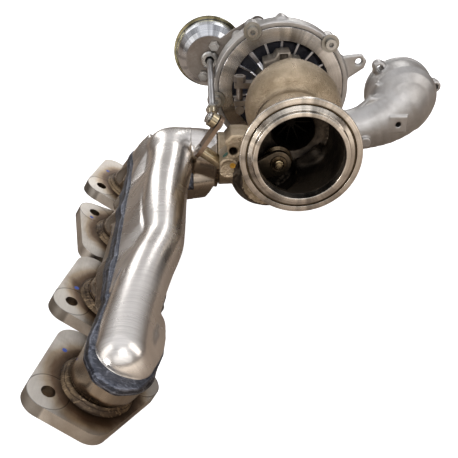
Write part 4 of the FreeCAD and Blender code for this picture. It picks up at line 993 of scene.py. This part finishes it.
def build_bearing_housing():
    ring = lathe("bearing_plate", [
        (47.5, PLATE_FRONT), (61.1, PLATE_FRONT), (61.1, PLATE_BACK), (22.0, PLATE_BACK), (22.0, 178.2),
        (47.5, 178.2)],
        "plate", [1.0, 0.5, 0.4, 0.2, 0.2, 0.6], 192)
    stands_for(ring, "bearing_housing", "bearing_housing")
    dish = lathe("plate_recess", [
        (22.0, 178.4), (22.0, 176.8), (30.0, 176.2), (44.0, 176.4), (47.4, 173.5), (47.7, 173.5),
        (47.7, 178.4)], "recess", 0.8, 160)
    step = 0.9
    low, high = (-36.0, 114.0, -38.0), (36.0, 180.0, 46.0)
    p = grid(low, high, step)
    barrel = spun_field(p, [
        (0, 117), (11, 117), (23.5, 121), (24, 128), (32.8, 128), (33, 131.5), (31.2, 133.5), (26, 136),
        (22.5, 142), (22.0, 156), (25, 166), (30, 177), (0, 177)])
    drain = smax(flat_cylinder(p, (0, 149, -34), (0, 149, 0), 13.0, 1.5), np.abs(p[0]) - 12.0, 1.5)
    feed = flat_cylinder(p, (0, 148, 0), (0, 148, 28), 9.5, 1.2)
    lug = prism_field(p, [(-17, 14), (-19, 33), (-9, 36), (-6, 41), (6, 42), (9, 35), (17, 34), (16, 14)],
                      148, 169, 3.0)
    body = smin(smin(barrel, drain, 4.0), smin(feed, lug, 4.0), 4.0)
    tunnel = spun_field(p, [(0, 110), (8.0, 110), (8.0, 161), (20, 164), (20, 184), (0, 184)])
    body = hollowed(body, (tunnel, flat_cylinder(p, (0, 148, 4), (0, 148, 40), 4.0, 0.3),
                           flat_cylinder(p, (0, 149, -45), (0, 149, -4), 8.0, 0.4)), 0.5)
    body = np.maximum(body, p[1] - 177.5)
    barrel_piece = blended_piece("bearing_barrel", body, low, step, "barrel")
    plate_ribs()


build_bearing_housing()

# ---- compressor housing

COMPRESSOR_SCROLL = [
    (0, 56.0, 19.5), (20, 46.0, 5.0), (70, 46.0, 7.0), (90, 46.0, 8.5), (130, 47.0, 9.8), (180, 48.0, 11.2),
    (225, 49.0, 12.8), (270, 50.5, 14.5), (315, 53.0, 17.0), (359.9, 56.0, 19.5)]
# Flat pads and the lug: outline (x, z), y from and to, softness and blend.
PADS = [
    ([(58, 8), (66, 8), (82, 19), (84, 26), (79, 32.5), (72, 32), (56, 30)], 170, 176, 1.2, 3.0),
    ([(118, -56), (137, -56), (137, -38), (118, -38)], 186, 216, 1.2, 2.0),
    ([(84, -42), (112, -44), (116, -22), (100, -24)], 203, 209, 1.5, 3.0),
    ([(92, -38), (116, -42), (116, -14), (107, -12), (104, -26)], 214, 219, 1.5, 3.0)]
# The duct from the volute to the drum as (x, y, z, radius).
DISCHARGE = [(-6, 201.5, -57, 19.2), (35, 201.5, -60, 20.5), (70, 202.0, -60, 21.5), (96, 206.0, -57, 23.5),
             (118, 213.0, -50, 28.0), (134, 222.0, -40, 33.0)]
# The charge outlet's drum lies along Y at this (x, z).
DRUM = (140.0, -31.0)


def ring_spots(centre, radius, bearings):
    """Points (x, z) on a circle, at bearings in degrees from +X."""
    turns = [math.radians(b) for b in bearings]
    return [(centre[0] + radius * math.cos(a), centre[1] + radius * math.sin(a)) for a in turns]


BOLT_CIRCLE, EAR_CIRCLE = 64.5, 38.5
# Five bolts in even steps, their bearings counted from straight up, and three ears round the outlet.
BOLTS = [(x, z) for z, x in ring_spots((0.0, 0.0), BOLT_CIRCLE, [-98.5 + 72 * i for i in range(5)])]
EARS = ring_spots(DRUM, EAR_CIRCLE, [11 + 120 * i for i in range(3)])


def build_compressor_housing():
    step = 1.1
    low, high = (-76.0, 163.0, -102.0), (184.0, 268.0, 76.0)
    p = grid(low, high, step)
    skin = spun_field(p, [
        (0, 170), (60, 166.2), (65.8, 166.2), (66.5, 167), (66.5, 184), (60, 191), (36, 198), (31, 204),
        (31, 256), (32.4, 258), (32.4, 262), (31, 265), (0, 265)])
    body = smin(skin, scroll_field(p, COMPRESSOR_SCROLL, lambda radius: PLATE_BACK + radius), 6.0)
    body = smin(body, chain(p, DISCHARGE, 3), 5.0)
    drum = spun_field(p, [
        (0, 199.5), (12, 200.5), (24, 205), (32, 212), (36, 221), (36, 250), (0, 250)], DRUM)
    collar = spun_field(p, [(0, 243), (37.6, 243.6), (37.6, 250), (0, 250)], DRUM)
    body = smin(smin(body, drum, 6.0), collar, 1.0)
    for ex, ez in EARS:
        body = smin(body, post(p, (ex, ez), 236, 250, 6.5), 3.0)
        inner = (DRUM[0] + (ex - DRUM[0]) * 0.8, 226, DRUM[1] + (ez - DRUM[1]) * 0.8)
        body = smin(body, capsule(p, (ex, 242, ez), inner, 5.5, 3.0), 3.0)
    for spot in BOLTS:
        body = smin(body, post(p, spot, 167.2, 188, 6.4, 0.6), 2.0)
    for spot in ((-40, 40), (-20, 52)):
        body = smin(body, post(p, spot, 196, 214.9, 6.5, 0.8), 4.0)
    for corners, start, end, soft, blend in PADS:
        body = smin(body, prism_field(p, corners, start, end, soft), blend)
    body = smin(body, post(p, (93, -64), 178, 200, 5.8), 2.5)
    body = smin(body, post(p, (0, 64.5), 172, 188, 5.0), 3.0)
    body = np.maximum(body, PLATE_FRONT - p[1])
    seat = spun_field(p, [(0, 150), (61.2, 150), (61.2, 182.02), (0, 182.02)])
    wheel_room = spun_field(p, [(0, 180), (27.8, 180), (27.8, 188.4), (22.4, 193.8), (21.3, 197), (21.3, 212),
                                (26.5, 236), (28, 240), (28, 270), (0, 270)])
    dome = spun_field(p, [(0, 203), (14, 204.5), (24, 210), (30, 220), (30, 252), (0, 252)], DRUM)
    holes = [(spot, 232, 252, 3.3) for spot in EARS]
    holes += [((76, 25.5), 160, 190, 3.2), ((127.5, -47), 180, 198, 2.8)]
    body = hollowed(body, [seat, wheel_room, dome] + [post(p, *hole, 0.3) for hole in holes], 0.5)
    casting = blended_piece("compressor_casting", body, low, step, "aluminium")
    stands_for(casting, "compressor_housing", "compressor_housing")


build_compressor_housing()

# ---- stage, light and camera


def build_stage():
    floor_mesh = bpy.data.meshes.new("floor")
    edge, level = 4.0, float(CAD_BOX[0][2]) - 0.012
    corners = [(-edge, -edge, level), (edge, -edge, level), (edge, edge, level), (-edge, edge, level)]
    floor_mesh.from_pydata(corners, [], [(0, 1, 2, 3)])
    floor = bpy.data.objects.new("floor", floor_mesh)
    bpy.context.scene.collection.objects.link(floor)
    n = new_nodes("pale floor")
    shade = n.mix(n.noise(3.0), (0.93, 0.93, 0.93), (0.95, 0.95, 0.95))
    floor_mesh.materials.append(n.finish(shade, 0.85, 0.0))
    n.feed(n.shader, Emission_Color=(1, 1, 1), Emission_Strength=0.8)
    # The floor looks white but throws a warm tone into the metal, brighter in front.
    warm = n.add("ShaderNodeBsdfDiffuse")
    n.feed(warm, Color=(0.36, 0.295, 0.24))
    glow = n.one_colour("ShaderNodeEmission", (1.0, 0.93, 0.84), n.span(n.axis(1), -0.16, -0.5, 0.0, 0.8))
    lit = n.add("ShaderNodeAddShader")
    n.link(warm.outputs[0], lit.inputs[0])
    n.link(glow, lit.inputs[1])
    n.seen_apart(lit.outputs[0], n.shader.outputs[0])


def area_light(name, place, toward, size, power, colour=(1, 1, 1)):
    data = bpy.data.lights.new(name, "AREA")
    data.shape = "RECTANGLE"
    data.size, data.size_y = size
    data.energy = power
    data.color = colour
    light = bpy.data.objects.new(name, data)
    bpy.context.scene.collection.objects.link(light)
    light.location = place
    aim = Vector(toward) - Vector(place)
    light.rotation_euler = aim.to_track_quat("-Z", "Y").to_euler()


def build_world():
    """A dim warm room, brighter and cooler overhead; seen directly it is as pale as the floor."""
    world = bpy.data.worlds.new("studio")
    bpy.context.scene.world = world
    n = Nodes(world, "World", "Generated")
    split = n.add("ShaderNodeSeparateXYZ")
    n.link(n.coordinates, split.inputs[0])
    height = n.add("ShaderNodeMapRange")
    n.feed(height, Value=split.outputs[2], From_Min=-1.0, From_Max=1.0)
    room = n.ramp(height.outputs[0], [
        (0.0, (0.3, 0.25, 0.21)), (0.5, (0.13, 0.105, 0.088)), (0.6, (0.26, 0.23, 0.21)),
        (0.72, (0.5, 0.49, 0.49)), (0.86, (0.78, 0.78, 0.8)), (1.0, (0.7, 0.71, 0.75))])
    n.seen_apart(n.one_colour("ShaderNodeBackground", room, 0.85),
                 n.one_colour("ShaderNodeBackground", (0.97, 0.97, 0.97), 1.0))


def build_light():
    build_world()
    area_light("overhead", (-0.15, 0.1, 1.6), (-0.05, 0.05, 0), (1.6, 2.0), 2.6)
    area_light("left strip", (-1.3, -0.5, 0.75), (-0.1, 0, 0), (0.6, 1.5), 3.2, (1.0, 0.98, 0.95))
    area_light("right strip", (1.2, -0.3, 0.9), (0.05, 0.1, 0), (0.6, 1.4), 4.5, (1.0, 0.96, 0.92))
    area_light("front fill", (0.2, -1.6, 0.75), (0, 0, 0), (2.2, 1.0), 5)
    area_light("key", (0.1, -0.9, 1.0), (0, 0.05, 0), (0.6, 0.5), 2.0)
    area_light("low side", (-1.0, -0.9, 0.12), (0, 0.05, 0), (0.25, 0.22), 2.6)
    # These two lie behind the part and make the long reflections on the log.
    area_light("back left", (-0.85, 1.75, 0.85), (-0.12, 0, 0.05), (0.42, 1.1), 3.3)
    area_light("back right", (0.42, 1.85, 0.85), (-0.12, 0, 0.05), (0.36, 1.1), 3.0)


def build_camera():
    data = bpy.data.cameras.new("camera")
    camera = bpy.data.objects.new("camera", data)
    bpy.context.scene.collection.objects.link(camera)
    yaw, pitch = 0.039, 0.523
    camera.location = (-0.07719, -0.50888, 0.23177)
    forward = Vector((math.sin(yaw) * math.cos(pitch), math.cos(yaw) * math.cos(pitch), -math.sin(pitch)))
    camera.rotation_euler = forward.to_track_quat("-Z", "Y").to_euler()
    data.sensor_width = 36.0
    data.lens = 56.059387
    data.clip_start = 0.01
    bpy.context.scene.camera = camera
    bpy.context.scene.view_settings.view_transform = "Standard"
    bpy.context.scene.view_settings.look = "None"


build_stage()
build_light()
build_camera()
